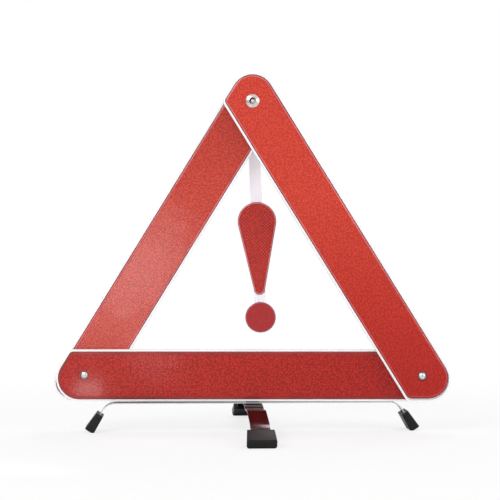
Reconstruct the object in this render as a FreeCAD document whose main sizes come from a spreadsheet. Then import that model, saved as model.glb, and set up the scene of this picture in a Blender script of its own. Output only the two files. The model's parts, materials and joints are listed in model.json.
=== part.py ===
import FreeCAD, Part
import Sketcher
import math
import os

# Folding warning triangle, millimetres. X runs to the right, Y to the back and Z up from the ground.
# The origin is on the ground, straight under the rivet on which the two legs turn.
# Three reflector arms lie in three layers, one behind the other: the right arm in front, the bottom
# arm in the middle and the left arm behind. The two side arms lean towards each other, so that their
# upper ends meet at a press stud. A warning mark hangs behind the left arm from the stud's eyelet.

DIMENSIONS = [
    ("base_pitch", 366.0, "between the two lower rivets"),
    ("side_pitch", 349.0, "from a lower rivet to the press stud"),
    ("arm_axis_height", 60.5, "lower rivets above the ground"),
    ("arm_width", 56.0, "width of an arm's housing"),
    ("arm_depth", 11.0, "depth of an arm's housing"),
    ("layer_gap", 1.0, "free space between two arms at a rivet"),
    ("apex_gap", 2.6, "free space between the side arms at the press stud"),
    ("leg_axis_depth", 7.4, "leg rivet behind the front of the bottom arm"),
    ("outer_corner_radius", 25.0, "outer corner of a housing"),
    ("rear_corner_radius", 20.0, "lower outer corner of the left housing, which is squarer"),
    ("inner_corner_radius", 7.0, "inner corner of a housing"),
    ("rim_width", 2.0, "white edge of a housing around its reflector"),
    ("reflector_thickness", 2.2, "plate of the reflector, flush in the housing"),
    ("reflector_clearance", 0.15, "between the reflector's edge and the rim"),
    ("reflector_bevel", 0.7, "bevel around the front of a reflector"),
    ("face_thickness", 1.6, "housing wall under the reflector"),
    ("wall_thickness", 1.8, "side walls of a housing"),
    ("rib_thickness", 1.2, "stiffening ribs in the open back"),
    ("rib_setback", 3.0, "ribs end this far inside the open back"),
    ("rib_count", 10, "cross ribs between the rivets of an arm"),
    ("boss_radius", 8.0, "round boss around each rivet"),
    ("rivet_radius", 2.5, "shank of an arm rivet"),
    ("rivet_play", 0.3, "radial play of an arm on its rivet"),
    ("rivet_head_radius", 4.4, "domed head of an arm rivet"),
    ("rivet_head_height", 1.9, "height of the domed head"),
    ("rivet_well_radius", 5.4, "hole in a reflector around a rivet head"),
    ("hub_clearance", 0.2, "between a housing's front hub and the reflector's hole"),
    ("closing_radius", 4.0, "closed end of a rivet"),
    ("closing_height", 1.4, "height of the closed end of a rivet"),
    ("closing_bevel", 0.8, "bevel around the closed end of a rivet"),
    ("closing_hollow_radius", 1.4, "hollow in the middle of the closed end"),
    ("closing_setback", 0.6, "closed rivet end inside the open back of the bottom arm"),
    ("burr_radius", 6.0, "washer under the closed end of a rivet"),
    ("burr_thickness", 0.8, "thickness of that washer"),
    ("spacer_radius", 7.0, "nylon washer between two arms"),
    ("spacer_thickness", 0.7, "thickness of the nylon washer"),
    ("cap_radius", 7.3, "press stud cap on the right arm"),
    ("cap_height", 2.2, "height of the cap"),
    ("cap_dimple_radius", 3.6, "sunk middle of the cap"),
    ("cap_dimple_depth", 1.1, "floor of that dimple behind the cap's front"),
    ("cap_button_radius", 2.0, "button in the dimple, the head of the cap's post"),
    ("cap_button_height", 0.9, "height of that button"),
    ("post_radius", 1.9, "posts of the press stud"),
    ("post_clearance", 0.1, "around a press stud's post"),
    ("socket_radius", 5.8, "spring socket in the back of the right arm"),
    ("socket_depth", 2.8, "depth of the spring socket"),
    ("socket_floor", 0.8, "floor of the spring socket"),
    ("socket_lip", 0.5, "lip around the socket's mouth, which snaps into the stud's waist"),
    ("stud_radius", 3.0, "nose of the press stud"),
    ("stud_flange_radius", 5.2, "flange of the press stud"),
    ("stud_flange_thickness", 0.8, "thickness of that flange"),
    ("stud_waist", 0.5, "depth of the waist behind the stud's nose"),
    ("stud_clearance", 0.3, "between the stud's nose and the right arm"),
    ("seat_clearance", 0.1, "around a metal piece sunk in plastic"),
    ("mark_tilt_angle", 2.15, "degrees by which the hanging mark leans to the right"),
    ("mark_gap", 0.6, "between the left arm's back and the mark's plates"),
    ("mark_plate_thickness", 1.5, "drop and dot of the mark"),
    ("carrier_thickness", 1.0, "strip that carries the drop and the dot"),
    ("carrier_width", 12.4, "width of that strip"),
    ("carrier_eye_radius", 7.0, "round upper end of the strip"),
    ("carrier_end", 243.0, "lower end of the strip below the eyelet"),
    ("drop_centre", 129.7, "centre of the drop's head below the eyelet"),
    ("drop_radius", 21.2, "head of the drop"),
    ("drop_tip_centre", 204.3, "centre of the drop's rounded tip below the eyelet"),
    ("drop_tip_radius", 6.0, "rounded tip of the drop"),
    ("dot_centre", 235.4, "centre of the dot below the eyelet"),
    ("dot_radius", 16.75, "dot of the mark"),
    ("stake_radius", 1.5, "moulded pins that hold the drop and the dot on the strip"),
    ("stake_head_radius", 2.4, "flattened heads of those pins"),
    ("stake_head_height", 0.7, "height of those heads"),
    ("stake_spacing", 8.0, "pins of the drop and the dot above the centres of their round ends"),
    ("collar_radius", 4.5, "collar between the left arm and the mark"),
    ("eyelet_head_radius", 4.6, "head of the eyelet behind the mark"),
    ("eyelet_head_height", 1.2, "height of the eyelet's head"),
    ("eyelet_play", 0.2, "radial play of the mark on its eyelet"),
    ("stack_gap", 0.1, "play between the pieces that turn on one rivet"),
    ("leg_width", 20.0, "spring steel strip of a leg"),
    ("leg_thickness", 1.0, "thickness of that strip"),
    ("leg_turn_angle", 3.5, "degrees by which both legs are turned in the resting pose"),
    ("leg_washer_radius", 7.0, "nylon washers on the leg rivet"),
    ("leg_washer_thickness", 0.8, "thickness of those washers"),
    ("leg_rivet_radius", 2.4, "shank of the leg rivet"),
    ("leg_rivet_play", 0.3, "radial play of the legs on their rivet"),
    ("leg_rivet_head_radius", 5.0, "lower head of the leg rivet"),
    ("leg_rivet_head_height", 1.8, "height of that head"),
    ("leg_rivet_top_radius", 3.2, "closed upper end of the leg rivet"),
    ("leg_rivet_top_height", 1.5, "height of that end"),
    ("mount_plate_length", 28.0, "steel plate on the housing's lower wall"),
    ("mount_plate_width", 6.6, "width of that plate"),
    ("mount_plate_thickness", 1.5, "thickness of that plate"),
    ("side_knee", 157.7, "side leg's bend, from the leg rivet"),
    ("side_slope_angle", 57.0, "degrees by which the side leg falls after its bend"),
    ("side_bend_radius", 16.0, "radius of that bend"),
    ("cross_reach", 149.0, "end of the cross leg's feet, from the leg rivet"),
    ("cross_knee", 117.0, "cross leg's outer bend, from the leg rivet"),
    ("cross_slope_angle", 27.0, "degrees by which the cross leg falls after its outer bend"),
    ("cross_flat", 14.0, "level middle of the cross leg, from the leg rivet"),
    ("cross_valley", 34.0, "shallow valley of the cross leg, from the leg rivet"),
    ("cross_valley_drop", 2.7, "depth of the valley"),
    ("cross_crest", 64.0, "crest of the cross leg, from the leg rivet"),
    ("cross_crest_drop", 0.7, "crest below the level middle"),
    ("cross_bend_radius", 45.0, "radius of the cross leg's bends"),
    ("foot_length", 21.0, "rubber foot, along the leg"),
    ("foot_end_width", 30.4, "width of a foot at its end"),
    ("foot_end_thickness", 11.0, "thickness of a foot at its end"),
    ("foot_taper_angle", 3.7, "degrees by which a foot's sides close in towards the leg"),
    ("foot_corner_radius", 2.0, "rounded corners of a foot's end"),
    ("foot_bevel", 0.8, "bevel around a foot's end"),
    ("foot_end_wall", 2.5, "rubber between the leg's tip and the foot's end"),
    ("foot_slot_clearance", 0.05, "between the leg and the foot's slot"),
    ("foot_flat", 1.3, "lower corner of a foot cut off level with the ground"),
    ("stow_clearance", 1.5, "around the stud where it stows behind the folded bottom arm"),
]

LEAST_OVERLAP = 0.4    # a feature that joins a wall reaches this far into it
SPINE_OVERLAP = 1.0    # the middle rib reaches this far into the round bosses
CUT_EXCESS = 1.0       # a cut that goes right through starts or ends this far outside
SAME_LEVEL = 1e-4      # two heights that differ by less are the same

doc = FreeCAD.newDocument("WarningTriangle")
sheet = doc.addObject("Spreadsheet::Sheet", "Dims")
for row, (alias, value, meaning) in enumerate(DIMENSIONS, start=1):
    sheet.set(f"A{row}", alias)
    sheet.set(f"B{row}", str(value))
    sheet.set(f"C{row}", meaning)
    sheet.setAlias(f"B{row}", alias)
doc.recompute()


# ---- sizes worked out from the sheet --------------------------------------------------------------

def number(expression):
    """Value of an expression over the sheet, in millimetres or degrees."""
    result = sheet.evalExpression(expression)
    return float(getattr(result, "Value", result))


def size(alias):
    return number(f"Dims.{alias}")


BASE_ANGLE = "acos(Dims.base_pitch / 2 / Dims.side_pitch) / 1 deg"
APEX_ANGLE = f"(180 - 2 * {BASE_ANGLE})"
HALF_WIDTH = "Dims.arm_width / 2"
RECESS_HALF = "(Dims.arm_width / 2 - Dims.rim_width)"
REFLECTOR_HALF = "(Dims.arm_width / 2 - Dims.rim_width - Dims.reflector_clearance)"
HOLLOW_HALF = "(Dims.arm_width / 2 - Dims.wall_thickness)"
FACE_BACK = "(Dims.reflector_thickness + Dims.face_thickness)"

ARM_BOTTOM = "(Dims.arm_axis_height - Dims.arm_width / 2)"
WASHER_STEP = "(Dims.leg_washer_thickness + 2 * Dims.stack_gap)"
SIDE_LEVEL = f"({ARM_BOTTOM} - {WASHER_STEP} - Dims.leg_thickness / 2)"
CROSS_LEVEL = f"({SIDE_LEVEL} - {WASHER_STEP} - Dims.leg_thickness)"

base_angle = math.radians(number(BASE_ANGLE))
apex_rise = size("side_pitch") * math.sin(base_angle)
layer_pitch = size("arm_depth") + size("layer_gap")
bottom_front = -size("leg_axis_depth")
bottom_back = bottom_front + size("arm_depth")
right_front = bottom_front - layer_pitch
left_front = bottom_back + size("layer_gap")
apex_space = size("arm_depth") + 2 * size("layer_gap")
lean = math.atan((apex_space - size("apex_gap")) / 2 / apex_rise)

axis_height = size("arm_axis_height")


# ---- general helpers ------------------------------------------------------------------------------

def new_body(name):
    body = doc.addObject("PartDesign::Body", name)
    body.Label = name
    return body


def new_sketch(body, name, plane="XY_Plane", level="0"):
    """Sketch on one of the body's own origin planes, moved along its normal to a level."""
    sketch = body.newObject("Sketcher::SketchObject", name)
    support = next(item for item in body.Origin.OriginFeatures if item.Role == plane)
    sketch.AttachmentSupport = [(support, "")]
    sketch.MapMode = "FlatFace"
    sketch.setExpression("AttachmentOffset.Base.z", level)
    return sketch


def bind(sketch, constraint, expression):
    """Add a constraint whose value follows an expression over the sheet."""
    index = sketch.addConstraint(constraint)
    sketch.setExpression(f"Constraints[{index}]", expression)


def place_x(sketch, geometry, point, expression):
    """Hold a point at a signed distance to the right of the sketch's origin."""
    distance = number(expression)
    if abs(distance) < SAME_LEVEL:
        sketch.addConstraint(Sketcher.Constraint("PointOnObject", geometry, point, -2))
    elif distance > 0:
        bind(sketch, Sketcher.Constraint("DistanceX", -1, 1, geometry, point, distance), expression)
    else:
        constraint = Sketcher.Constraint("DistanceX", geometry, point, -1, 1, -distance)
        bind(sketch, constraint, f"-({expression})")


def place_y(sketch, geometry, point, expression):
    """Hold a point at a signed distance above the sketch's origin."""
    distance = number(expression)
    if abs(distance) < SAME_LEVEL:
        sketch.addConstraint(Sketcher.Constraint("PointOnObject", geometry, point, -1))
    elif distance > 0:
        bind(sketch, Sketcher.Constraint("DistanceY", -1, 1, geometry, point, distance), expression)
    else:
        constraint = Sketcher.Constraint("DistanceY", geometry, point, -1, 1, -distance)
        bind(sketch, constraint, f"-({expression})")


def polygon(sketch, corners):
    """Closed outline of straight edges through corners given as pairs of expressions."""
    points = [FreeCAD.Vector(number(x), number(y), 0) for x, y in corners]
    count = len(points)
    first = sketch.GeometryCount
    for index in range(count):
        sketch.addGeometry(Part.LineSegment(points[index], points[(index + 1) % count]), False)
    for index in range(count):
        after = first + (index + 1) % count
        sketch.addConstraint(Sketcher.Constraint("Coincident", first + index, 2, after, 1))
    for index, (x, y) in enumerate(corners):
        place_x(sketch, first + index, 1, x)
        place_y(sketch, first + index, 1, y)


def rounded_outline(sketch, corners, radii, closed=True):
    """Straight runs through corners, joined by tangent arcs; an open path has sharp ends.

    The corners are pairs of expressions and each rounded corner has a radius expression. A
    construction point stays at every corner, and the runs on both sides of it aim at it.
    """
    points = [FreeCAD.Vector(number(x), number(y), 0) for x, y in corners]
    count = len(points)
    runs = count if closed else count - 1
    turning = range(count) if closed else range(1, count - 1)
    bends = {index: number(radii[index]) for index in turning}
    ways = [(points[(i + 1) % count] - points[i]).normalize() for i in range(runs)]
    trims = [0.0] * count
    for index, bend in bends.items():
        trims[index] = bend * math.tan(ways[index - 1].getAngle(ways[index]) / 2)
    lines = []
    for index in range(runs):
        start = points[index] + ways[index] * trims[index]
        end = points[(index + 1) % count] - ways[index] * trims[(index + 1) % count]
        lines.append(sketch.addGeometry(Part.LineSegment(start, end), False))
    for index, bend in bends.items():
        add_corner(sketch, lines[index - 1], lines[index], points[index], bend, radii[index])
    marks = []
    for index, (x, y) in enumerate(corners):
        mark = sketch.addGeometry(Part.Point(points[index]), True)
        marks.append(mark)
        place_x(sketch, mark, 1, x)
        place_y(sketch, mark, 1, y)
        if index in bends:
            sketch.addConstraint(Sketcher.Constraint("PointOnObject", mark, 1, lines[index - 1]))
            sketch.addConstraint(Sketcher.Constraint("PointOnObject", mark, 1, lines[index]))
    if not closed:
        sketch.addConstraint(Sketcher.Constraint("Coincident", lines[0], 1, marks[0], 1))
        sketch.addConstraint(Sketcher.Constraint("Coincident", lines[-1], 2, marks[-1], 1))


def short_arc(sketch, centre, start, end):
    """Shorter arc between two points around a centre; also gives each point's place on it."""
    spoke, last = start - centre, end - centre
    forwards = spoke.cross(last).z > 0
    first, second = (spoke, last) if forwards else (last, spoke)
    low = math.atan2(first.y, first.x)
    high = low + first.getAngle(second)
    ring_line = Part.Circle(centre, FreeCAD.Vector(0, 0, 1), spoke.Length)
    arc = sketch.addGeometry(Part.ArcOfCircle(ring_line, low, high), False)
    return (arc, 1, 2) if forwards else (arc, 2, 1)


def add_corner(sketch, before, after, corner, bend, radius):
    """Arc between the end of one run and the start of the next, tangent to both."""
    start = sketch.Geometry[before].EndPoint
    end = sketch.Geometry[after].StartPoint
    inward = ((start - corner) + (end - corner)).normalize()
    half = (start - corner).getAngle(end - corner) / 2
    centre = corner + inward * (bend / math.sin(half))
    arc, at_start, at_end = short_arc(sketch, centre, start, end)
    sketch.addConstraint(Sketcher.Constraint("Tangent", before, 2, arc, at_start))
    sketch.addConstraint(Sketcher.Constraint("Tangent", arc, at_end, after, 1))
    bind(sketch, Sketcher.Constraint("Radius", arc, bend), radius)


def rectangle(sketch, left, right, low, high):
    polygon(sketch, [(left, low), (right, low), (right, high), (left, high)])


def circle(sketch, x, radius, y="0"):
    """Circle around a point given by two expressions."""
    centre = FreeCAD.Vector(number(x), number(y), 0)
    index = sketch.addGeometry(Part.Circle(centre, FreeCAD.Vector(0, 0, 1), number(radius)), False)
    place_x(sketch, index, 3, x)
    place_y(sketch, index, 3, y)
    bind(sketch, Sketcher.Constraint("Radius", index, number(radius)), radius)


def pad(body, sketch, name, length, midplane=False):
    feature = body.newObject("PartDesign::Pad", name)
    feature.Profile = sketch
    feature.setExpression("Length", length)
    feature.Midplane = midplane
    body.Tip = feature
    return feature


def pocket(body, sketch, name, depth, upwards):
    """Cut a sketch's outline to a depth, along its normal or against it."""
    feature = body.newObject("PartDesign::Pocket", name)
    feature.Profile = sketch
    feature.setExpression("Length", depth)
    feature.Reversed = upwards
    body.Tip = feature
    return feature


def bevel_edges(body, name, base, wanted, depth):
    """Chamfer on the edges of a feature that a test picks out."""
    doc.recompute()
    edges = [f"Edge{i}" for i, edge in enumerate(base.Shape.Edges, start=1) if wanted(edge)]
    feature = body.newObject("PartDesign::Chamfer", name)
    feature.Base = (base, edges)
    feature.setExpression("Size", depth)
    body.Tip = feature




def level_at(height):
    """Test for the edges that lie at one height."""
    def wanted(edge):
        box = edge.BoundBox
        return abs(box.ZMin - height) < SAME_LEVEL and abs(box.ZMax - height) < SAME_LEVEL
    return wanted


def put(body, position, rotation=FreeCAD.Rotation()):
    body.Placement = FreeCAD.Placement(FreeCAD.Vector(*position), rotation)
    return body


# ---- the three arms -------------------------------------------------------------------------------

# An arm is drawn flat: its near rivet is at the origin, its far rivet lies along X, its outer edge
# is towards +Y and its depth runs along Z from the front of the reflector to the open back.

def arm_corners(half, length, near_angle, far_angle):
    """Outer near, outer far, inner far and inner near corner, as pairs of expressions."""
    return [(f"-({half}) / tan({near_angle} / 2)", half),
            (f"{length} + ({half}) / tan({far_angle} / 2)", half),
            (f"{length} + ({half}) * tan({far_angle} / 2)", f"-({half})"),
            (f"-({half}) * tan({near_angle} / 2)", f"-({half})")]


def arm_outline(body, name, arm, half, level, shrink):
    """Rounded outline of an arm at a half width; its corner radii are smaller by the shrink."""
    sketch = new_sketch(body, f"{name}_outline", level=level)
    corners = arm_corners(half, arm["length"], arm["near_angle"], arm["far_angle"])
    radii = [arm["near_radius"], arm["far_radius"], "Dims.inner_corner_radius",
             "Dims.inner_corner_radius"]
    rounded_outline(sketch, corners, [f"{radius} - ({shrink})" for radius in radii])
    return sketch


def arm_housing(arm):
    """Moulded housing: a tray for the reflector in front, an open ribbed back behind."""
    label = arm["name"]
    body = new_body(f"{label}_arm_housing")
    shell = arm_outline(body, f"{label}_shell", arm, HALF_WIDTH, "0", "0")
    pad(body, shell, f"{label}_shell", "Dims.arm_depth")
    tray = arm_outline(body, f"{label}_tray", arm, RECESS_HALF, "0", "Dims.rim_width")
    pocket(body, tray, f"{label}_tray", "Dims.reflector_thickness", True)
    hollow = arm_outline(body, f"{label}_hollow", arm, HOLLOW_HALF, "Dims.arm_depth",
                         "Dims.wall_thickness")
    pocket(body, hollow, f"{label}_hollow", f"Dims.arm_depth - {FACE_BACK}", False)
    add_ribs(body, arm)
    for end in ("near", "far"):
        add_boss(body, arm, end)
    return body


def add_ribs(body, arm):
    """Cross ribs between the rivets and one rib along the middle, set back from the open side."""
    label = arm["name"]
    rib_height = f"Dims.arm_depth - {FACE_BACK} - Dims.rib_setback"
    pitch = f"{arm['length']} / (Dims.rib_count + 1)"
    reach = f"({HOLLOW_HALF} + {LEAST_OVERLAP})"
    half_rib = "Dims.rib_thickness / 2"
    sketch = new_sketch(body, f"{label}_rib_outline", level=FACE_BACK)
    rectangle(sketch, f"{pitch} - {half_rib}", f"{pitch} + {half_rib}", f"-{reach}", reach)
    rib = pad(body, sketch, f"{label}_rib", rib_height)
    doc.recompute()
    row = body.newObject("PartDesign::LinearPattern", f"{label}_rib_row")
    row.Originals = [rib]
    row.Direction = (sketch, ["H_Axis"])
    row.setExpression("Occurrences", "Dims.rib_count")
    row.setExpression("Length", f"{pitch} * (Dims.rib_count - 1)")
    body.Tip = row
    spine = new_sketch(body, f"{label}_spine_outline", level=FACE_BACK)
    rectangle(spine, f"Dims.boss_radius - {SPINE_OVERLAP}",
              f"{arm['length']} - Dims.boss_radius + {SPINE_OVERLAP}", f"-{half_rib}", half_rib)
    pad(body, spine, f"{label}_spine", rib_height)


def add_boss(body, arm, end):
    """Boss at one end of an arm: its height, a flush hub through the reflector, and its bore."""
    label = f"{arm['name']}_{end}"
    x = "0" if end == "near" else arm["length"]
    sketch = new_sketch(body, f"{label}_boss_outline", level=FACE_BACK)
    circle(sketch, x, "Dims.boss_radius")
    pad(body, sketch, f"{label}_boss", f"Dims.arm_depth - {FACE_BACK} - {arm[end]['boss_setback']}")
    if arm[end]["hub"]:
        hub = new_sketch(body, f"{label}_hub_outline")
        circle(hub, x, f"{arm[end]['well']} - Dims.hub_clearance")
        pad(body, hub, f"{label}_hub", f"{FACE_BACK} - {LEAST_OVERLAP}")
    bore = new_sketch(body, f"{label}_bore_outline")
    circle(bore, x, arm[end]["bore"])
    pocket(body, bore, f"{label}_bore", f"Dims.arm_depth + {CUT_EXCESS}", True)
    if "seat" in arm[end]:
        level, radius, depth, upwards = arm[end]["seat"]
        seat = new_sketch(body, f"{label}_seat_outline", level=level)
        circle(seat, x, radius)
        pocket(body, seat, f"{label}_seat", depth, upwards)


def arm_reflector(arm):
    """Prismatic reflector plate with a bevelled front and a hole around each rivet."""
    label = arm["name"]
    body = new_body(f"{label}_arm_reflector")
    outline = arm_outline(body, f"{label}_plate", arm, REFLECTOR_HALF, "0",
                          "Dims.rim_width + Dims.reflector_clearance")
    plate = pad(body, outline, f"{label}_plate", "Dims.reflector_thickness")
    bevel_edges(body, f"{label}_bevel", plate, level_at(0.0), "Dims.reflector_bevel")
    for end in ("near", "far"):
        hole = new_sketch(body, f"{label}_{end}_well_outline")
        circle(hole, "0" if end == "near" else arm["length"], arm[end]["well"])
        pocket(body, hole, f"{label}_{end}_well", f"Dims.reflector_thickness + {CUT_EXCESS}", True)
    return body


RIVET_BORE = "Dims.rivet_radius + Dims.rivet_play"
WELL = "Dims.rivet_well_radius"
POST_BORE = "Dims.post_radius + Dims.post_clearance"
CLOSING_ROOM = "(Dims.burr_thickness + Dims.closing_height + Dims.closing_setback)"
NOSE = "(Dims.apex_gap - Dims.stud_clearance)"
POST_END = f"(Dims.stud_flange_thickness - {NOSE})"
SOCKET_SEAT = "Dims.socket_radius + Dims.seat_clearance"
STUD_SEAT = "Dims.stud_flange_radius + Dims.seat_clearance"

BOTTOM_ARM = {
    "name": "bottom", "length": "Dims.base_pitch",
    "near_angle": BASE_ANGLE, "far_angle": BASE_ANGLE,
    "near_radius": "Dims.outer_corner_radius", "far_radius": "Dims.outer_corner_radius",
    "near": {"hub": False, "boss_setback": "0", "bore": RIVET_BORE, "well": WELL},
    "far": {"hub": True, "boss_setback": CLOSING_ROOM, "bore": RIVET_BORE, "well": WELL},
}
RIGHT_ARM = {
    "name": "right", "length": "Dims.side_pitch",
    "near_angle": BASE_ANGLE, "far_angle": APEX_ANGLE,
    "near_radius": "Dims.outer_corner_radius", "far_radius": "Dims.outer_corner_radius",
    "near": {"hub": False, "boss_setback": "0", "bore": RIVET_BORE, "well": WELL},
    "far": {"hub": False, "boss_setback": "0", "bore": POST_BORE, "well": POST_BORE,
            "seat": ("Dims.arm_depth", SOCKET_SEAT, "Dims.socket_depth", False)},
}
LEFT_ARM = {
    "name": "left", "length": "Dims.side_pitch",
    "near_angle": APEX_ANGLE, "far_angle": BASE_ANGLE,
    "near_radius": "Dims.outer_corner_radius", "far_radius": "Dims.rear_corner_radius",
    "near": {"hub": True, "boss_setback": "0", "bore": POST_BORE, "well": "Dims.boss_radius",
             "seat": ("0", STUD_SEAT, "Dims.stud_flange_thickness", True)},
    "far": {"hub": True, "boss_setback": "0", "bore": RIVET_BORE, "well": WELL},
}


def arm_rotation(along_x, along_z, tilt):
    """Turn a flat arm upright, along a direction in the XZ plane, and lean it about the X axis."""
    along = FreeCAD.Vector(along_x, 0, along_z)
    back = FreeCAD.Vector(0, 1, 0)
    upright = FreeCAD.Rotation(along, back.cross(along), back, "XYZ")
    return FreeCAD.Rotation(FreeCAD.Vector(1, 0, 0), math.degrees(tilt)).multiply(upright)


bottom_turn = arm_rotation(1, 0, 0)
right_turn = arm_rotation(-math.cos(base_angle), math.sin(base_angle), -lean)
left_turn = arm_rotation(-math.cos(base_angle), -math.sin(base_angle), lean)

left_rivet = FreeCAD.Vector(-size("base_pitch") / 2, 0, axis_height)
right_rivet = FreeCAD.Vector(size("base_pitch") / 2, 0, axis_height)
bottom_place = FreeCAD.Placement(left_rivet + FreeCAD.Vector(0, bottom_front, 0), bottom_turn)


def layer_place(turn, rivet_local, rivet_world):
    """Placement that carries a point of a flat arm to its rivet."""
    return FreeCAD.Placement(rivet_world - turn.multVec(rivet_local), turn)


right_place = layer_place(right_turn, FreeCAD.Vector(0, 0, size("arm_depth")),
                          right_rivet + FreeCAD.Vector(0, right_front + size("arm_depth"), 0))
left_place = layer_place(left_turn, FreeCAD.Vector(size("side_pitch"), 0, 0),
                         left_rivet + FreeCAD.Vector(0, left_front, 0))


def bottom_arm():
    """Bottom arm, with the leg rivet's hole in its lower wall and a relief for the stowed stud."""
    housing = arm_housing(BOTTOM_ARM)
    middle = "Dims.base_pitch / 2"
    hole = new_sketch(housing, "leg_rivet_hole_outline", "XZ_Plane",
                      f"-({HALF_WIDTH}) - {CUT_EXCESS}")
    circle(hole, middle, "Dims.leg_rivet_radius + Dims.leg_rivet_play", "Dims.leg_axis_depth")
    pocket(housing, hole, "leg_rivet_hole", f"Dims.wall_thickness + 2 * {CUT_EXCESS}", True)
    relief = new_sketch(housing, "stud_relief_outline", "XZ_Plane", f"{HALF_WIDTH} + {CUT_EXCESS}")
    room = "(Dims.stud_radius + Dims.stow_clearance)"
    depth = f"({NOSE} - Dims.layer_gap + Dims.stow_clearance)"
    rectangle(relief, f"Dims.side_pitch - {room}", f"Dims.side_pitch + {room}",
              f"Dims.arm_depth - {depth}", f"Dims.arm_depth + {CUT_EXCESS}")
    pocket(housing, relief, "stud_relief", f"Dims.wall_thickness + 2 * {CUT_EXCESS}", False)
    housing.Placement = bottom_place
    arm_reflector(BOTTOM_ARM).Placement = bottom_place


def side_arms():
    arm_housing(RIGHT_ARM).Placement = right_place
    arm_reflector(RIGHT_ARM).Placement = right_place
    arm_housing(LEFT_ARM).Placement = left_place
    arm_reflector(LEFT_ARM).Placement = left_place


# ---- rivets, washers and the press stud -----------------------------------------------------------

# Turned pieces are drawn around Z. On the triangle their Z axis points to the back.

to_back = FreeCAD.Rotation(FreeCAD.Vector(1, 0, 0), FreeCAD.Vector(0, 0, -1),
                           FreeCAD.Vector(0, 1, 0), "XYZ")


def dome(body, name, radius, height, level, upwards):
    """Turned domed head: an arc from the rim to the axis above a flat underside."""
    sketch = new_sketch(body, f"{name}_profile", "XZ_Plane")
    sign = 1 if upwards else -1
    rim, rise, base = number(radius), number(height), number(level)
    ball = (rim * rim + rise * rise) / (2 * rise)
    centre = FreeCAD.Vector(0, base + sign * (rise - ball), 0)
    top = FreeCAD.Vector(0, base + sign * rise, 0)
    edge = FreeCAD.Vector(rim, base, 0)
    foot = FreeCAD.Vector(0, base, 0)
    arc, at_edge, at_top = short_arc(sketch, centre, edge, top)
    axis = sketch.addGeometry(Part.LineSegment(top, foot), False)
    under = sketch.addGeometry(Part.LineSegment(foot, edge), False)
    sketch.addConstraint(Sketcher.Constraint("Coincident", arc, at_top, axis, 1))
    sketch.addConstraint(Sketcher.Constraint("Coincident", axis, 2, under, 1))
    sketch.addConstraint(Sketcher.Constraint("Coincident", under, 2, arc, at_edge))
    sketch.addConstraint(Sketcher.Constraint("PointOnObject", arc, 3, -2))
    sketch.addConstraint(Sketcher.Constraint("PointOnObject", axis, 1, -2))
    sketch.addConstraint(Sketcher.Constraint("PointOnObject", axis, 2, -2))
    sketch.addConstraint(Sketcher.Constraint("Horizontal", under))
    place_x(sketch, under, 2, radius)
    place_y(sketch, under, 2, level)
    place_y(sketch, axis, 1, f"{level} + ({height}) * {sign}")
    spin(body, name, sketch)


def spin(body, name, sketch):
    """Turn an outline in the XZ plane around the body's Z axis."""
    feature = body.newObject("PartDesign::Revolution", name)
    feature.Profile = sketch
    feature.ReferenceAxis = (sketch, ["V_Axis"])
    feature.Angle = 360
    body.Tip = feature


def shank(body, name, radius, low, high):
    """Round shank between two heights."""
    sketch = new_sketch(body, f"{name}_outline", level=low)
    circle(sketch, "0", radius)
    pad(body, sketch, name, f"({high}) - ({low})")


def ring(name, inner, outer, thickness):
    """Flat washer."""
    body = new_body(name)
    sketch = new_sketch(body, f"{name}_outline")
    circle(sketch, "0", outer)
    circle(sketch, "0", inner)
    pad(body, sketch, f"{name}_disc", thickness)
    return body


def turned(body, name, profile):
    """Turned piece: a closed outline of (radius, height) corners around the body's Z axis."""
    sketch = new_sketch(body, f"{name}_profile", "XZ_Plane")
    polygon(sketch, profile)
    spin(body, name, sketch)


def rolled_end(body, name, radius, height, level):
    """Rolled end of a tubular rivet: a bevelled disc with a conical hollow in its middle."""
    top = f"{level} + {height}"
    turned(body, name, [("0", level), (radius, level), (f"{radius} - Dims.closing_bevel", top),
                        ("Dims.closing_hollow_radius", top), ("0", f"{top} - ({height}) / 2")])


def arm_rivet(name, grip, play_under_head, y_seat, rivet):
    """Rivet with a domed head in front; the grip runs from under the head to the closed end."""
    body = new_body(name)
    dome(body, f"{name}_head", "Dims.rivet_head_radius", "Dims.rivet_head_height", "0", False)
    shank(body, f"{name}_shank", "Dims.rivet_radius", "0", f"{grip} + {LEAST_OVERLAP}")
    rolled_end(body, f"{name}_closing", "Dims.closing_radius", "Dims.closing_height", grip)
    put(body, (rivet.x, y_seat - play_under_head, rivet.z), to_back)


def washer_on(name, inner, outer, thickness, y_front, rivet):
    put(ring(name, inner, outer, thickness), (rivet.x, y_front, rivet.z), to_back)


def lower_left_fasteners():
    """Rivet through the bottom arm and the left arm, its head sunk in the bottom reflector."""
    play = size("seat_clearance")
    lean_play = size("burr_radius") * math.sin(lean) + size("stack_gap")
    grip = (f"Dims.arm_depth * 2 + Dims.layer_gap - Dims.reflector_thickness"
            f" + Dims.burr_thickness + Dims.seat_clearance + {lean_play + size('stack_gap')}")
    seat = bottom_front + size("reflector_thickness")
    arm_rivet("lower_left_rivet", grip, play, seat, left_rivet)
    spacer_front = bottom_back + (size("layer_gap") - size("spacer_thickness")) / 2
    washer_on("lower_left_spacer", RIVET_BORE, "Dims.spacer_radius", "Dims.spacer_thickness",
              spacer_front, left_rivet)
    left_back = left_front + size("arm_depth")
    washer_on("lower_left_burr", "Dims.rivet_radius + Dims.post_clearance", "Dims.burr_radius",
              "Dims.burr_thickness", left_back + lean_play, left_rivet)


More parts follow.
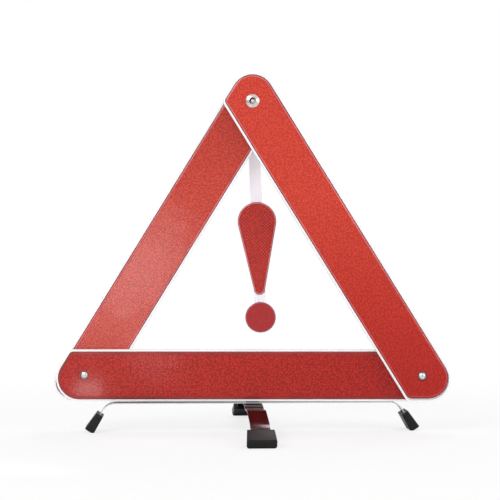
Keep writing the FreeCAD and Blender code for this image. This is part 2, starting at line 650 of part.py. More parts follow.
def lower_right_fasteners():
    """Rivet through the right arm and the bottom arm, closed inside the bottom arm's back."""
    play = size("rivet_head_radius") * math.sin(lean) + size("seat_clearance")
    grip = (f"Dims.arm_depth * 2 + Dims.layer_gap - Dims.reflector_thickness"
            f" - {CLOSING_ROOM} + Dims.burr_thickness + {play + size('stack_gap')}")
    seat = right_front + size("reflector_thickness")
    arm_rivet("lower_right_rivet", grip, play, seat, right_rivet)
    spacer_front = bottom_front - (size("layer_gap") + size("spacer_thickness")) / 2
    washer_on("lower_right_spacer", RIVET_BORE, "Dims.spacer_radius", "Dims.spacer_thickness",
              spacer_front, right_rivet)
    boss_back = bottom_back - number(CLOSING_ROOM)
    washer_on("lower_right_burr", "Dims.rivet_radius + Dims.post_clearance", "Dims.burr_radius",
              "Dims.burr_thickness", boss_back, right_rivet)


def snap_cap():
    """Pressed steel cap on the right arm's front, with a sunk middle and a post to the socket."""
    body = new_body("snap_cap")
    dome(body, "cap_dome", "Dims.cap_radius", "Dims.cap_height", "0", False)
    sink = new_sketch(body, "cap_dimple_outline", level=f"-(Dims.cap_height + {CUT_EXCESS})")
    circle(sink, "0", "Dims.cap_dimple_radius")
    pocket(body, sink, "cap_dimple", f"Dims.cap_dimple_depth + {CUT_EXCESS}", True)
    dimple_floor = "Dims.cap_dimple_depth - Dims.cap_height"
    dome(body, "cap_button", "Dims.cap_button_radius", "Dims.cap_button_height", dimple_floor, False)
    shank(body, "cap_post", "Dims.post_radius", f"({dimple_floor}) / 2",
          "Dims.arm_depth - Dims.socket_depth + Dims.socket_floor")
    body.Placement = right_place.multiply(
        FreeCAD.Placement(FreeCAD.Vector(size("side_pitch"), 0, 0), FreeCAD.Rotation()))


def snap_socket():
    """Spring socket sunk flush in the right arm's back; the stud's nose presses into its mouth."""
    body = new_body("snap_socket")
    top = "Dims.socket_depth"
    lip = "Dims.socket_lip"
    mouth = "Dims.stud_radius + Dims.stud_clearance"
    turned(body, "socket_ring", [(POST_BORE, "0"), ("Dims.socket_radius", "0"),
                                 ("Dims.socket_radius", f"{top} - {lip}"),
                                 (f"Dims.socket_radius - {lip}", top), (mouth, top),
                                 (f"{mouth} + {lip}", f"{top} - {lip}"),
                                 (f"{mouth} + {lip}", "Dims.socket_floor"),
                                 (POST_BORE, "Dims.socket_floor")])
    offset = FreeCAD.Vector(size("side_pitch"), 0, size("arm_depth") - size("socket_depth"))
    body.Placement = right_place.multiply(FreeCAD.Placement(offset, FreeCAD.Rotation()))


def snap_stud():
    """Stud on the left arm's front: a flange sunk in the hub and a nose with a waist."""
    body = new_body("snap_stud")
    waist = "Dims.stud_waist"
    turned(body, "stud_turned", [(POST_BORE, "Dims.stud_flange_thickness"),
                                 (POST_BORE, POST_END), ("0", POST_END), ("0", f"-{NOSE}"),
                                 (f"Dims.stud_radius - {waist}", f"-{NOSE}"),
                                 ("Dims.stud_radius", f"{waist} - {NOSE}"),
                                 ("Dims.stud_radius", f"-{NOSE} / 2"),
                                 (f"Dims.stud_radius - {waist}", "0"),
                                 ("Dims.stud_flange_radius", "0"),
                                 ("Dims.stud_flange_radius", "Dims.stud_flange_thickness")])
    body.Placement = left_place


MARK_FRONT = "(Dims.arm_depth + Dims.mark_gap)"
CARRIER_FRONT = f"({MARK_FRONT} + Dims.mark_plate_thickness)"
CARRIER_BACK = f"({CARRIER_FRONT} + Dims.carrier_thickness)"


def snap_eyelet():
    """Eyelet from the stud through the left arm; the warning mark turns on its rear end."""
    body = new_body("snap_eyelet")
    back = f"{CARRIER_BACK} + Dims.stack_gap"
    shank(body, "eyelet_post", "Dims.post_radius", f"{POST_END} + Dims.stack_gap",
          f"{back} + Dims.eyelet_head_height / 2")
    dome(body, "eyelet_head", "Dims.eyelet_head_radius", "Dims.eyelet_head_height", back, True)
    body.Placement = left_place


def mark_collar():
    """Collar on the eyelet that holds the mark off the left arm's back."""
    body = ring("mark_collar", POST_BORE, "Dims.collar_radius",
                f"{CARRIER_FRONT} - Dims.arm_depth - Dims.stack_gap")
    offset = FreeCAD.Vector(0, 0, size("arm_depth"))
    body.Placement = left_place.multiply(FreeCAD.Placement(offset, FreeCAD.Rotation()))


# ---- the hanging warning mark ---------------------------------------------------------------------

# The mark is drawn flat: the eyelet is at the origin and the mark hangs along X.

hang_angle = math.radians(size("mark_tilt_angle"))
mark_turn = arm_rotation(math.sin(hang_angle), -math.cos(hang_angle), lean)
mark_place = FreeCAD.Placement(left_place.Base, mark_turn)


def mark_carrier():
    """Pale strip with a round eye at the top, holes for the moulded pins and a round end."""
    body = new_body("mark_carrier")
    strip = new_sketch(body, "carrier_outline", level=CARRIER_FRONT)
    half = "Dims.carrier_width / 2"
    rectangle(strip, "0", f"Dims.carrier_end - {half}", f"-{half}", half)
    pad(body, strip, "carrier_strip", "Dims.carrier_thickness")
    for name, x, radius in (("eye", "0", "Dims.carrier_eye_radius"),
                            ("end", f"Dims.carrier_end - {half}", half)):
        disc = new_sketch(body, f"carrier_{name}_outline", level=CARRIER_FRONT)
        circle(disc, x, radius)
        pad(body, disc, f"carrier_{name}", "Dims.carrier_thickness")
    holes = new_sketch(body, "carrier_holes_outline", level=CARRIER_FRONT)
    circle(holes, "0", "Dims.post_radius + Dims.eyelet_play")
    for centre in ("Dims.drop_centre", "Dims.dot_centre"):
        circle(holes, f"{centre} - Dims.stake_spacing", "Dims.stake_radius + Dims.post_clearance")
    circle(holes, "Dims.drop_tip_centre - Dims.stake_spacing",
           "Dims.stake_radius + Dims.post_clearance")
    pocket(body, holes, "carrier_holes", f"Dims.carrier_thickness + {CUT_EXCESS}", True)
    body.Placement = mark_place


def add_stakes(body, name, places):
    """Moulded pins through the strip, flattened behind it."""
    for index, x in enumerate(places):
        root = f"{CARRIER_FRONT} - {LEAST_OVERLAP}"
        pin = new_sketch(body, f"{name}_pin_outline_{index}", level=root)
        circle(pin, x, "Dims.stake_radius")
        pad(body, pin, f"{name}_pin_{index}", f"{CARRIER_BACK} + Dims.stack_gap - ({root})")
        head = new_sketch(body, f"{name}_head_outline_{index}", level=CARRIER_BACK)
        circle(head, x, "Dims.stake_head_radius")
        pad(body, head, f"{name}_head_{index}", "Dims.stake_head_height")


def mark_drop():
    """Drop-shaped reflector: a round head and a small rounded tip joined by tangent edges."""
    body = new_body("mark_drop")
    sketch = new_sketch(body, "drop_outline", level=MARK_FRONT)
    head_x, tip_x = size("drop_centre"), size("drop_tip_centre")
    head_radius, tip_radius = size("drop_radius"), size("drop_tip_radius")
    spread = math.acos((head_radius - tip_radius) / (tip_x - head_x))
    normal = FreeCAD.Vector(0, 0, 1)
    head_circle = Part.Circle(FreeCAD.Vector(head_x, 0, 0), normal, head_radius)
    tip_circle = Part.Circle(FreeCAD.Vector(tip_x, 0, 0), normal, tip_radius)
    head = sketch.addGeometry(Part.ArcOfCircle(head_circle, spread, 2 * math.pi - spread), False)
    tip = sketch.addGeometry(Part.ArcOfCircle(tip_circle, -spread, spread), False)
    edge_normal = FreeCAD.Vector(math.cos(spread), math.sin(spread), 0)
    mirror_normal = FreeCAD.Vector(math.cos(spread), -math.sin(spread), 0)
    head_centre, tip_centre = FreeCAD.Vector(head_x, 0, 0), FreeCAD.Vector(tip_x, 0, 0)
    upper = sketch.addGeometry(Part.LineSegment(head_centre + edge_normal * head_radius,
                                                tip_centre + edge_normal * tip_radius), False)
    lower = sketch.addGeometry(Part.LineSegment(head_centre + mirror_normal * head_radius,
                                                tip_centre + mirror_normal * tip_radius), False)
    for first, first_end, second, second_end in ((head, 1, upper, 1), (upper, 2, tip, 2),
                                                 (tip, 1, lower, 2), (lower, 1, head, 2)):
        sketch.addConstraint(Sketcher.Constraint("Tangent", first, first_end, second, second_end))
    for arc, x, radius in ((head, "Dims.drop_centre", "Dims.drop_radius"),
                           (tip, "Dims.drop_tip_centre", "Dims.drop_tip_radius")):
        place_x(sketch, arc, 3, x)
        place_y(sketch, arc, 3, "0")
        bind(sketch, Sketcher.Constraint("Radius", arc, number(radius)), radius)
    pad(body, sketch, "drop_plate", "Dims.mark_plate_thickness")
    add_stakes(body, "drop", ["Dims.drop_centre - Dims.stake_spacing",
                              "Dims.drop_tip_centre - Dims.stake_spacing"])
    body.Placement = mark_place


def mark_dot():
    """Round reflector under the drop."""
    body = new_body("mark_dot")
    sketch = new_sketch(body, "dot_outline", level=MARK_FRONT)
    circle(sketch, "Dims.dot_centre", "Dims.dot_radius")
    pad(body, sketch, "dot_plate", "Dims.mark_plate_thickness")
    add_stakes(body, "dot", ["Dims.dot_centre - Dims.stake_spacing"])
    body.Placement = mark_place


# ---- legs and feet --------------------------------------------------------------------------------

# Both legs are drawn along X around the leg rivet, at their height above the ground, and are then
# turned about Z. One half of a strip is swept along its bends and mirrored.

def end_height(slope):
    """Middle of a foot's end above the ground, once its lower corner is cut level."""
    return f"(Dims.foot_end_thickness / 2 * cos({slope}) - Dims.foot_flat)"


SIDE_SLOPE = "Dims.side_slope_angle"
CROSS_SLOPE = "Dims.cross_slope_angle"
SIDE_END_Z = end_height(SIDE_SLOPE)
CROSS_END_Z = end_height(CROSS_SLOPE)
SIDE_END_X = f"(Dims.side_knee + ({SIDE_LEVEL} - {SIDE_END_Z}) / tan({SIDE_SLOPE}))"
CROSS_END_X = "Dims.cross_reach"
CROSS_RUN = "(Dims.cross_reach - Dims.cross_knee)"
CROSS_KNEE_Z = f"({CROSS_END_Z} + {CROSS_RUN} * tan({CROSS_SLOPE}))"
TIP_RUN = "(Dims.foot_end_wall + Dims.foot_slot_clearance)"


def leg_strip(name, corners, radius, level, heading):
    """Spring steel strip: a half swept from the rivet outwards, mirrored, with the rivet's hole."""
    body = new_body(name)
    half, thick = "Dims.leg_width / 2", "Dims.leg_thickness / 2"
    section = new_sketch(body, f"{name}_section", "YZ_Plane")
    rectangle(section, f"-{half}", half, f"{level} - {thick}", f"{level} + {thick}")
    path = new_sketch(body, f"{name}_path", "XZ_Plane")
    rounded_outline(path, corners, [radius] * len(corners), closed=False)
    sweep = body.newObject("PartDesign::AdditivePipe", f"{name}_half")
    sweep.Profile = section
    sweep.Spine = path
    body.Tip = sweep
    doc.recompute()
    mirror = body.newObject("PartDesign::Mirrored", f"{name}_both")
    mirror.Originals = [sweep]
    mirror.MirrorPlane = (yz_plane(body), [""])
    body.Tip = mirror
    hole = new_sketch(body, f"{name}_hole_outline")
    circle(hole, "0", "Dims.leg_rivet_radius + Dims.leg_rivet_play")
    pocket(body, hole, f"{name}_hole", f"{level} + Dims.leg_thickness", True)
    put(body, (0, 0, 0), about_z(size("leg_turn_angle") + heading))


def about_z(angle):
    return FreeCAD.Rotation(FreeCAD.Vector(0, 0, 1), angle)


def yz_plane(body):
    return next(item for item in body.Origin.OriginFeatures if item.Role == "YZ_Plane")


def leg_foot(name, end_x, end_z, slope, heading):
    """Rubber sleeve on a leg's tip: wider towards its end, slotted for the leg, cut level below."""
    body = new_body(name)
    end = new_sketch(body, f"{name}_end_outline", level="Dims.foot_length")
    thick, wide = "Dims.foot_end_thickness / 2", "Dims.foot_end_width / 2"
    corners = [(f"-{thick}", f"-{wide}"), (thick, f"-{wide}"), (thick, wide), (f"-{thick}", wide)]
    rounded_outline(end, corners, ["Dims.foot_corner_radius"] * len(corners))
    block = pad(body, end, f"{name}_block", "Dims.foot_length")
    block.Reversed = True
    block.setExpression("TaperAngle", "-Dims.foot_taper_angle")
    bevel_edges(body, f"{name}_bevel", block, level_at(size("foot_length")), "Dims.foot_bevel")
    slot = new_sketch(body, f"{name}_slot_outline")
    half_gap = "(Dims.leg_thickness / 2 + Dims.foot_slot_clearance)"
    half_wide = "(Dims.leg_width / 2 + Dims.foot_slot_clearance)"
    rectangle(slot, f"-{half_gap}", half_gap, f"-{half_wide}", half_wide)
    pocket(body, slot, f"{name}_slot", "Dims.foot_length - Dims.foot_end_wall", True)
    level_cut(body, name, end_z, slope)
    angle = math.radians(number(slope))
    along = FreeCAD.Vector(math.cos(angle), 0, -math.sin(angle))
    across = FreeCAD.Vector(0, 1, 0)
    tilt = FreeCAD.Rotation(across.cross(along), across, along, "XYZ")
    start = FreeCAD.Vector(number(end_x), 0, number(end_z)) - along * size("foot_length")
    turn = about_z(size("leg_turn_angle") + heading)
    body.Placement = FreeCAD.Placement(turn.multVec(start), turn.multiply(tilt))


def level_cut(body, name, end_z, slope):
    """Cut a foot's lower corner level with the ground, so that it stands on a flat sole."""
    start_z = f"({end_z} + Dims.foot_length * sin({slope}))"
    past_end = f"(Dims.foot_length + {CUT_EXCESS})"
    ground_at_start = f"{start_z} / cos({slope})"
    ground_at_end = f"({start_z} - sin({slope}) * {past_end}) / cos({slope})"
    sketch = new_sketch(body, f"{name}_sole_outline", "XZ_Plane")
    outside = f"{ground_at_start} + Dims.foot_end_thickness"
    polygon(sketch, [(ground_at_end, past_end), (ground_at_start, "0"), (outside, "0"),
                     (outside, past_end)])
    sole = pocket(body, sketch, f"{name}_sole", f"Dims.foot_end_width + {CUT_EXCESS}", False)
    sole.Midplane = True


def side_leg():
    """Upper leg: level as far as its bend, then straight down to a foot at each side."""
    tip = (f"{SIDE_END_X} - {TIP_RUN} * cos({SIDE_SLOPE})",
           f"{SIDE_END_Z} + {TIP_RUN} * sin({SIDE_SLOPE})")
    corners = [("0", SIDE_LEVEL), ("Dims.side_knee", SIDE_LEVEL), tip]
    leg_strip("side_leg_strip", corners, "Dims.side_bend_radius", SIDE_LEVEL, 0.0)
    leg_foot("right_foot", SIDE_END_X, SIDE_END_Z, SIDE_SLOPE, 0.0)
    leg_foot("left_foot", SIDE_END_X, SIDE_END_Z, SIDE_SLOPE, 180.0)


def cross_leg():
    """Lower leg: shallow pressed waves, then a slope down to a foot in front and behind."""
    tip = (f"{CROSS_END_X} - {TIP_RUN} * cos({CROSS_SLOPE})",
           f"{CROSS_END_Z} + {TIP_RUN} * sin({CROSS_SLOPE})")
    corners = [("0", CROSS_LEVEL), ("Dims.cross_flat", CROSS_LEVEL),
               ("Dims.cross_valley", f"{CROSS_LEVEL} - Dims.cross_valley_drop"),
               ("Dims.cross_crest", f"{CROSS_LEVEL} - Dims.cross_crest_drop"),
               ("Dims.cross_knee", CROSS_KNEE_Z), tip]
    leg_strip("cross_leg_strip", corners, "Dims.cross_bend_radius", CROSS_LEVEL, 90.0)
    leg_foot("rear_foot", CROSS_END_X, CROSS_END_Z, CROSS_SLOPE, 90.0)
    leg_foot("front_foot", CROSS_END_X, CROSS_END_Z, CROSS_SLOPE, -90.0)


def leg_fasteners():
    """Rivet, washers and inner plate that hold both legs under the bottom arm."""
    bore = "Dims.leg_rivet_radius + Dims.leg_rivet_play"
    for name, strip in (("leg_upper_washer", SIDE_LEVEL), ("leg_lower_washer", CROSS_LEVEL)):
        washer = ring(name, bore, "Dims.leg_washer_radius", "Dims.leg_washer_thickness")
        put(washer, (0, 0, number(f"{strip} + Dims.leg_thickness / 2 + Dims.stack_gap")))
    plate = new_body("leg_mount_plate")
    outline = new_sketch(plate, "mount_plate_outline")
    rectangle(outline, "-Dims.mount_plate_length / 2", "Dims.mount_plate_length / 2",
              "-Dims.mount_plate_width / 2", "Dims.mount_plate_width / 2")
    circle(outline, "0", "Dims.leg_rivet_radius + Dims.post_clearance")
    pad(plate, outline, "mount_plate", "Dims.mount_plate_thickness")
    put(plate, (0, 0, number(f"{ARM_BOTTOM} + Dims.wall_thickness")))
    rivet = new_body("leg_pivot_rivet")
    head_top = f"({CROSS_LEVEL} - Dims.leg_thickness / 2 - Dims.stack_gap)"
    grip = f"({ARM_BOTTOM} + Dims.wall_thickness + Dims.mount_plate_thickness - {head_top})"
    dome(rivet, "leg_rivet_head", "Dims.leg_rivet_head_radius", "Dims.leg_rivet_head_height",
         "0", False)
    shank(rivet, "leg_rivet_shank", "Dims.leg_rivet_radius", "0", f"{grip} + {LEAST_OVERLAP}")
    rolled_end(rivet, "leg_rivet_top", "Dims.leg_rivet_top_radius", "Dims.leg_rivet_top_height",
               grip)
    put(rivet, (0, 0, number(head_top)))


# ---- build, check and write -----------------------------------------------------------------------

bottom_arm()
side_arms()
lower_left_fasteners()
lower_right_fasteners()
snap_cap()
snap_socket()
snap_stud()
snap_eyelet()
mark_collar()
mark_carrier()
mark_drop()
mark_dot()
side_leg()
cross_leg()
leg_fasteners()
doc.recompute()

for item in doc.Objects:
    if "Invalid" in item.State or "Error" in item.State:
        raise RuntimeError(f"{item.Label} failed: {item.State}")

os.makedirs("parts", exist_ok=True)
for body in doc.findObjects("PartDesign::Body"):
    shape = body.Shape
    if shape.isNull() or not shape.isValid():
        raise RuntimeError(f"{body.Label} has no valid shape")
    shape.exportStep(f"parts/{body.Label}.step")
    print(f"{body.Label:24s} {len(shape.Solids)} solid  {shape.Volume:10.1f} mm3")
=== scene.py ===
# %% [markdown]
# # A folding warning triangle
# Three red arms stand in a triangle on two crossed spring legs, and a red mark hangs in the middle.
# The working model, with its hinges, is loaded first and stays where it is. This lesson gives it the
# surfaces that the eye knows it by: moulded prism plates, white housings, rolled steel and black rubber.
# Lengths are in metres. X runs to the right, Y to the back and Z up.

# %% Load the working model
import json
import math

import bmesh
import bpy
from mathutils import Matrix, Vector


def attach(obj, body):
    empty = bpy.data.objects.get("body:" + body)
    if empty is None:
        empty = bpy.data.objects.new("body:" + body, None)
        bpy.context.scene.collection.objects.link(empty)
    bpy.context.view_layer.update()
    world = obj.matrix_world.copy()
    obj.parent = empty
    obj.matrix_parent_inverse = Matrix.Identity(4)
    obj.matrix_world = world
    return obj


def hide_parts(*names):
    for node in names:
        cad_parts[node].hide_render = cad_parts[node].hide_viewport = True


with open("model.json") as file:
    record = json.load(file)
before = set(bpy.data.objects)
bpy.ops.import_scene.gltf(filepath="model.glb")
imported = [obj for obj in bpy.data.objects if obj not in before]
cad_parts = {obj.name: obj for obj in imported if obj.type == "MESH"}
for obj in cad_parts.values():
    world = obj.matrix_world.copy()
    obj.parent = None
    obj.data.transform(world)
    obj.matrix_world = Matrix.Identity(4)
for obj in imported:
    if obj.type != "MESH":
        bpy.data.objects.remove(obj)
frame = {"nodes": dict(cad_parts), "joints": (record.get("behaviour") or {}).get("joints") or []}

MM = 0.001
X_AXIS = Vector((1, 0, 0))
Y_AXIS = Vector((0, 1, 0))
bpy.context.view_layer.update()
print("pieces in the model:", len(frame["nodes"]))

# %% [markdown]
# ## Where the arms lie
# Each arm has a flat frame of its own: along it from one rivet to the next, outward across it, and
# back through it. The corners of every plate could be typed in as world points, but the arms lean
# towards each other by a degree, and a change of size would leave typed points behind. The hinges
# already say where the rivets are, which way each arm's back faces and how far it folds, so the three
# frames are worked out from them and nothing is measured twice.

# %% Read the rivets and the fold
hinge = {joint["name"]: joint for joint in frame["joints"]}
left_rivet = Vector(hinge["left_arm_fold"]["pos_m"])
right_rivet = Vector(hinge["right_arm_fold"]["pos_m"])
press_stud = Vector(hinge["mark_swing"]["pos_m"])
left_back = Vector(hinge["left_arm_fold"]["axis"])
right_back = -Vector(hinge["right_arm_fold"]["axis"])
base_angle = math.radians(hinge["left_arm_fold"]["range_deg"][1])
apex_angle = math.pi - 2 * base_angle
base_pitch = (right_rivet - left_rivet).x
side_pitch = base_pitch / 2 / math.cos(base_angle)
print("rivet to rivet, base and side, in mm:", round(base_pitch / MM, 1), round(side_pitch / MM, 1))

# %% Make a frame from an origin and two directions
def flat_frame(origin, along, back):
    """The matrix whose X runs along a piece, Y outward across it and Z to its back."""
    outward = back.cross(along)
    turn = Matrix((along, outward, back)).transposed()
    return Matrix.Translation(origin) @ turn.to_4x4()


def leaning(back, angle):
    """A direction at an angle above +X, in the plane that has this back."""
    return X_AXIS * math.cos(angle) + X_AXIS.cross(back) * math.sin(angle)


left_along = -leaning(left_back, base_angle)
arm_frame = {
    "bottom": flat_frame(left_rivet, X_AXIS, Y_AXIS),
    "right": flat_frame(right_rivet, leaning(right_back, math.pi - base_angle), right_back),
    "left": flat_frame(left_rivet - left_along * side_pitch, left_along, left_back),
}
print("the side arms lean by", round(math.degrees(left_back.angle(Y_AXIS)), 3), "degrees each")


# %% Bring each frame to the front of its plate
def reach(node, place):
    """The lowest and highest corner of a node, measured in a flat frame."""
    inverse = place.inverted()
    points = [inverse @ vertex.co for vertex in frame["nodes"][node].data.vertices]
    low = Vector([min(point[axis] for point in points) for axis in range(3)])
    high = Vector([max(point[axis] for point in points) for axis in range(3)])
    return low, high


for arm in arm_frame:
    low, high = reach(f"{arm}_arm_reflector", arm_frame[arm])
    arm_frame[arm] = arm_frame[arm] @ Matrix.Translation((0, 0, low.z))
    print(arm, "plate: half width", round(high.y / MM, 2), "thickness", round((high.z - low.z) / MM, 2))

# %% [markdown]
# ## The outline of a prism plate
# A plate is a bar with slanted ends, each cut along the edge of the arm that it meets, and with
# rounded corners. It could be drawn once as a curve and then scaled for each step of its border, but
# scaling moves long and short sides by different amounts. Drawn as four straight sides and four
# corner radii, it can be moved inward by any amount on each side, which gives every line of the
# moulded border from one function.

# %% Round the corners of a shape made of straight sides
CORNER_STEPS = 10


def crossing(first, second):
    """Where two sides cross. A side is its outward direction and its distance from the origin."""
    (a, b), c = first
    (d, e), f = second
    scale = a * e - b * d
    return Vector(((c * e - b * f) / scale, (a * f - c * d) / scale))


def rounded_shape(sides, radii):
    """Points round a convex shape. Each radius rounds the corner between its side and the next."""
    points = []
    for index, radius in enumerate(radii):
        this, following = sides[index], sides[(index + 1) % len(sides)]
        corner = crossing(this, following)
        inward = -(Vector(this[0]) + Vector(following[0])).normalized()
        centre = corner + inward * radius / abs(inward.dot(Vector(this[0])))
        start = math.atan2(this[0][1], this[0][0])
        end = math.atan2(following[0][1], following[0][0])
        sweep = (end - start + math.pi) % (2 * math.pi) - math.pi
        for step in range(CORNER_STEPS + 1):
            angle = start + sweep * step / CORNER_STEPS
            points.append(centre + Vector((math.cos(angle), math.sin(angle))) * radius)
    return points


print("points at each rounded corner:", CORNER_STEPS + 1)

# %% The plate outline of an arm
OUTER_CORNER = 25.0 * MM
LOWER_LEFT_CORNER = 20.0 * MM
INNER_CORNER = 7.0 * MM
FOOT_CORNER = 11.0 * MM
LEAST_RADIUS = 0.6 * MM
housing_half = reach("bottom_arm_housing", arm_frame["bottom"])[1].y
plate_half = reach("bottom_arm_reflector", arm_frame["bottom"])[1].y
print("white rim and its gap together, in mm:", round((housing_half - plate_half) / MM, 2))


def arm_outline(half, pitch, near_angle, far_angle, corners, near_trim=0.0):
    """A function of the four insets (outer, far, inner, near) that gives the outline's points."""
    radii = [corner - (housing_half - half) for corner in corners]

    def outline(insets):
        outer, far, inner, near = insets
        near += near_trim
        far_out = (math.sin(far_angle), -math.cos(far_angle))
        near_out = (-math.sin(near_angle), -math.cos(near_angle))
        sides = [
            ((0, 1), half - outer),
            (far_out, half - far + far_out[0] * pitch),
            ((0, -1), half - inner),
            (near_out, half - near),
        ]
        pairs = [(outer, far), (far, inner), (inner, near), (near, outer)]
        left_over = [max(radius - sum(pair) / 2, LEAST_RADIUS) for radius, pair in zip(radii, pairs)]
        return rounded_shape(sides, left_over)
    return outline


# %% [markdown]
# ## Meshes from outlines
# Two small builders make most solids here. One joins a stack of outlines, each at its own depth, into
# a closed plate. The other turns a half section round an axis, as a lathe does. Solidify and Screw
# modifiers could do the same, but a stack can also step and slope its edge as a moulded border does,
# and it knows which material each band gets. Both builders fill their ends, so that the results can
# be cut with booleans and printed.

# %% Stack outlines into a closed solid
def closed_mesh(name, rings, paints=None):
    """A closed mesh through rings of points, with flat ends. A paint is a band's material slot."""
    mesh = bpy.data.meshes.new(name)
    form = bmesh.new()
    paints = paints or [0] * (len(rings) + 1)
    loops = [[form.verts.new(point) for point in ring] for ring in rings]
    count = len(rings[0])
    for lower, upper, paint in zip(loops, loops[1:], paints[1:]):
        for index in range(count):
            after = (index + 1) % count
            face = form.faces.new((lower[index], lower[after], upper[after], upper[index]))
            face.material_index = paint
    form.faces.new(loops[0]).material_index = paints[0]
    form.faces.new(list(reversed(loops[-1]))).material_index = paints[-1]
    bmesh.ops.recalc_face_normals(form, faces=form.faces)
    form.to_mesh(mesh)
    form.free()
    return mesh


def ring_at(points, depth):
    """A flat outline at a depth in a flat frame."""
    return [Vector((point.x, point.y, depth)) for point in points]


# %% Turn a half section round an axis
LATHE_STEPS = 48


def round_turns(steps):
    """Angles spread evenly over a full turn."""
    return [2 * math.pi * step / steps for step in range(steps)]


def lathe_rings(section, centre):
    """Rings for a solid of revolution. The section is a list of (radius, depth)."""
    x, y = centre
    return [
        [Vector((x + radius * math.cos(turn), y + radius * math.sin(turn), depth))
         for turn in round_turns(LATHE_STEPS)]
        for radius, depth in section
    ]


print("the lathe turns in steps of", 360 / LATHE_STEPS, "degrees")

# %% Put meshes into the scene and finish modifiers
def piece(name, mesh, materials=()):
    """A new object at the origin, with its place in its mesh."""
    made = bpy.data.objects.new(name, mesh)
    bpy.context.scene.collection.objects.link(made)
    for material in materials:
        mesh.materials.append(material)
    return made


def settle(made):
    """Turns what the modifiers show into the object's own plain mesh."""
    bpy.context.view_layer.update()
    shown = made.evaluated_get(bpy.context.evaluated_depsgraph_get())
    mesh = bpy.data.meshes.new_from_object(shown)
    made.modifiers.clear()
    made.data = mesh
    return made


def carve(made, tool, operation):
    """Cuts one closed solid with another and removes the tool."""
    cut = made.modifiers.new("carve", "BOOLEAN")
    cut.solver = "MANIFOLD"
    cut.operation = operation
    cut.object = tool
    settle(made)
    bpy.data.objects.remove(tool)
    return made


# %% [markdown]
# ## The prism sheet
# The red plates glitter because their plastic is moulded into thousands of little cube corners, each
# one the corner of a cube seen along its diagonal. A bump map could suggest them, but it would look
# flat at the edges and leave nothing to print. Six corners round a hexagon, half of them deep and half
# at mid depth, give exactly three square faces, and such hexagons tile without a gap. The mark has
# plain four sided points instead, set as diamonds. One tile of either kind is made, set on the points
# of two shifted grids and merged, which Geometry Nodes do in a moment.

# %% Small helpers for node trees
def new_tree(name, inputs):
    """An empty geometry tree with named inputs, given as (name, kind, value)."""
    tree = bpy.data.node_groups.new(name, "GeometryNodeTree")
    for label, kind, value in inputs:
        socket = tree.interface.new_socket(label, in_out="INPUT", socket_type=kind)
        if value is not None:
            socket.default_value = value
    tree.interface.new_socket("Geometry", in_out="OUTPUT", socket_type="NodeSocketGeometry")
    return tree, tree.nodes.new("NodeGroupInput"), tree.nodes.new("NodeGroupOutput")


def feed(tree, node, values):
    """Gives a node's first inputs their values. Each is a socket, a number, or None to pass by."""
    for index, value in enumerate(values):
        if isinstance(value, (int, float)):
            node.inputs[index].default_value = value
        elif value is not None:
            tree.links.new(value, node.inputs[index])


def calculate(tree, operation, first, second=None, third=None):
    """A Math node on sockets or numbers, and its output."""
    node = tree.nodes.new("ShaderNodeMath")
    node.operation = operation
    feed(tree, node, (first, second, third))
    return node.outputs[0]


def combined(tree, x=0.0, y=0.0, z=0.0):
    """A vector from three sockets or numbers."""
    node = tree.nodes.new("ShaderNodeCombineXYZ")
    feed(tree, node, (x, y, z))
    return node.outputs[0]


def separated(tree, vector):
    """The X, Y and Z outputs of a vector."""
    node = tree.nodes.new("ShaderNodeSeparateXYZ")
    tree.links.new(vector, node.inputs[0])
    return node.outputs


def length_of(tree, vector):
    """The length of a vector."""
    node = tree.nodes.new("ShaderNodeVectorMath")
    node.operation = "LENGTH"
    tree.links.new(vector, node.inputs[0])
    return node.outputs["Value"]


# %% Shape one tile
SHALLOW_CORNERS = 3.0


def prism_tile(tree, size):
    """A fan of triangles that sinks towards its rim, but less at every other corner."""
    tile = tree.nodes.new("GeometryNodeMeshCircle")
    tile.fill_type = "TRIANGLE_FAN"
    tree.links.new(size["Sides"], tile.inputs["Vertices"])
    tree.links.new(size["Corner"], tile.inputs["Radius"])
    place = tree.nodes.new("GeometryNodeInputPosition").outputs[0]
    parts = separated(tree, place)
    angle = calculate(tree, "ARCTAN2", parts["Y"], parts["X"])
    wave = calculate(tree, "COSINE", calculate(tree, "MULTIPLY", angle, SHALLOW_CORNERS))
    lift = calculate(tree, "MULTIPLY", calculate(tree, "ADD", wave, 1.0), size["Scallop"])
    share = calculate(tree, "SUBTRACT", 1.0, lift)
    out = calculate(tree, "DIVIDE", length_of(tree, place), size["Corner"])
    depth = calculate(tree, "MULTIPLY", calculate(tree, "MULTIPLY", out, share), size["Relief"])
    sink = tree.nodes.new("GeometryNodeSetPosition")
    tree.links.new(tile.outputs["Mesh"], sink.inputs["Geometry"])
    tree.links.new(combined(tree, z=depth), sink.inputs["Offset"])
    return sink.outputs[0]


# %% Lay two shifted grids of points
def shifted_grids(tree, size):
    """Points over the whole sheet, and the same points again, half a step along and across."""
    joined = tree.nodes.new("GeometryNodeJoinGeometry")
    for shift in (0.0, 0.5):
        grid = tree.nodes.new("GeometryNodeMeshGrid")
        for span, step, sizes, counts in (
            ("Length", size["Step Along"], "Size X", "Vertices X"),
            ("Width", size["Step Across"], "Size Y", "Vertices Y"),
        ):
            cells = calculate(tree, "CEIL", calculate(tree, "DIVIDE", size[span], step))
            tree.links.new(calculate(tree, "MULTIPLY", cells, step), grid.inputs[sizes])
            tree.links.new(calculate(tree, "ADD", cells, 1.0), grid.inputs[counts])
        moved = tree.nodes.new("GeometryNodeTransform")
        tree.links.new(grid.outputs["Mesh"], moved.inputs["Geometry"])
        offset = combined(tree, calculate(tree, "MULTIPLY", size["Step Along"], shift),
                          calculate(tree, "MULTIPLY", size["Step Across"], shift))
        tree.links.new(offset, moved.inputs["Translation"])
        tree.links.new(moved.outputs[0], joined.inputs[0])
    return joined.outputs[0]


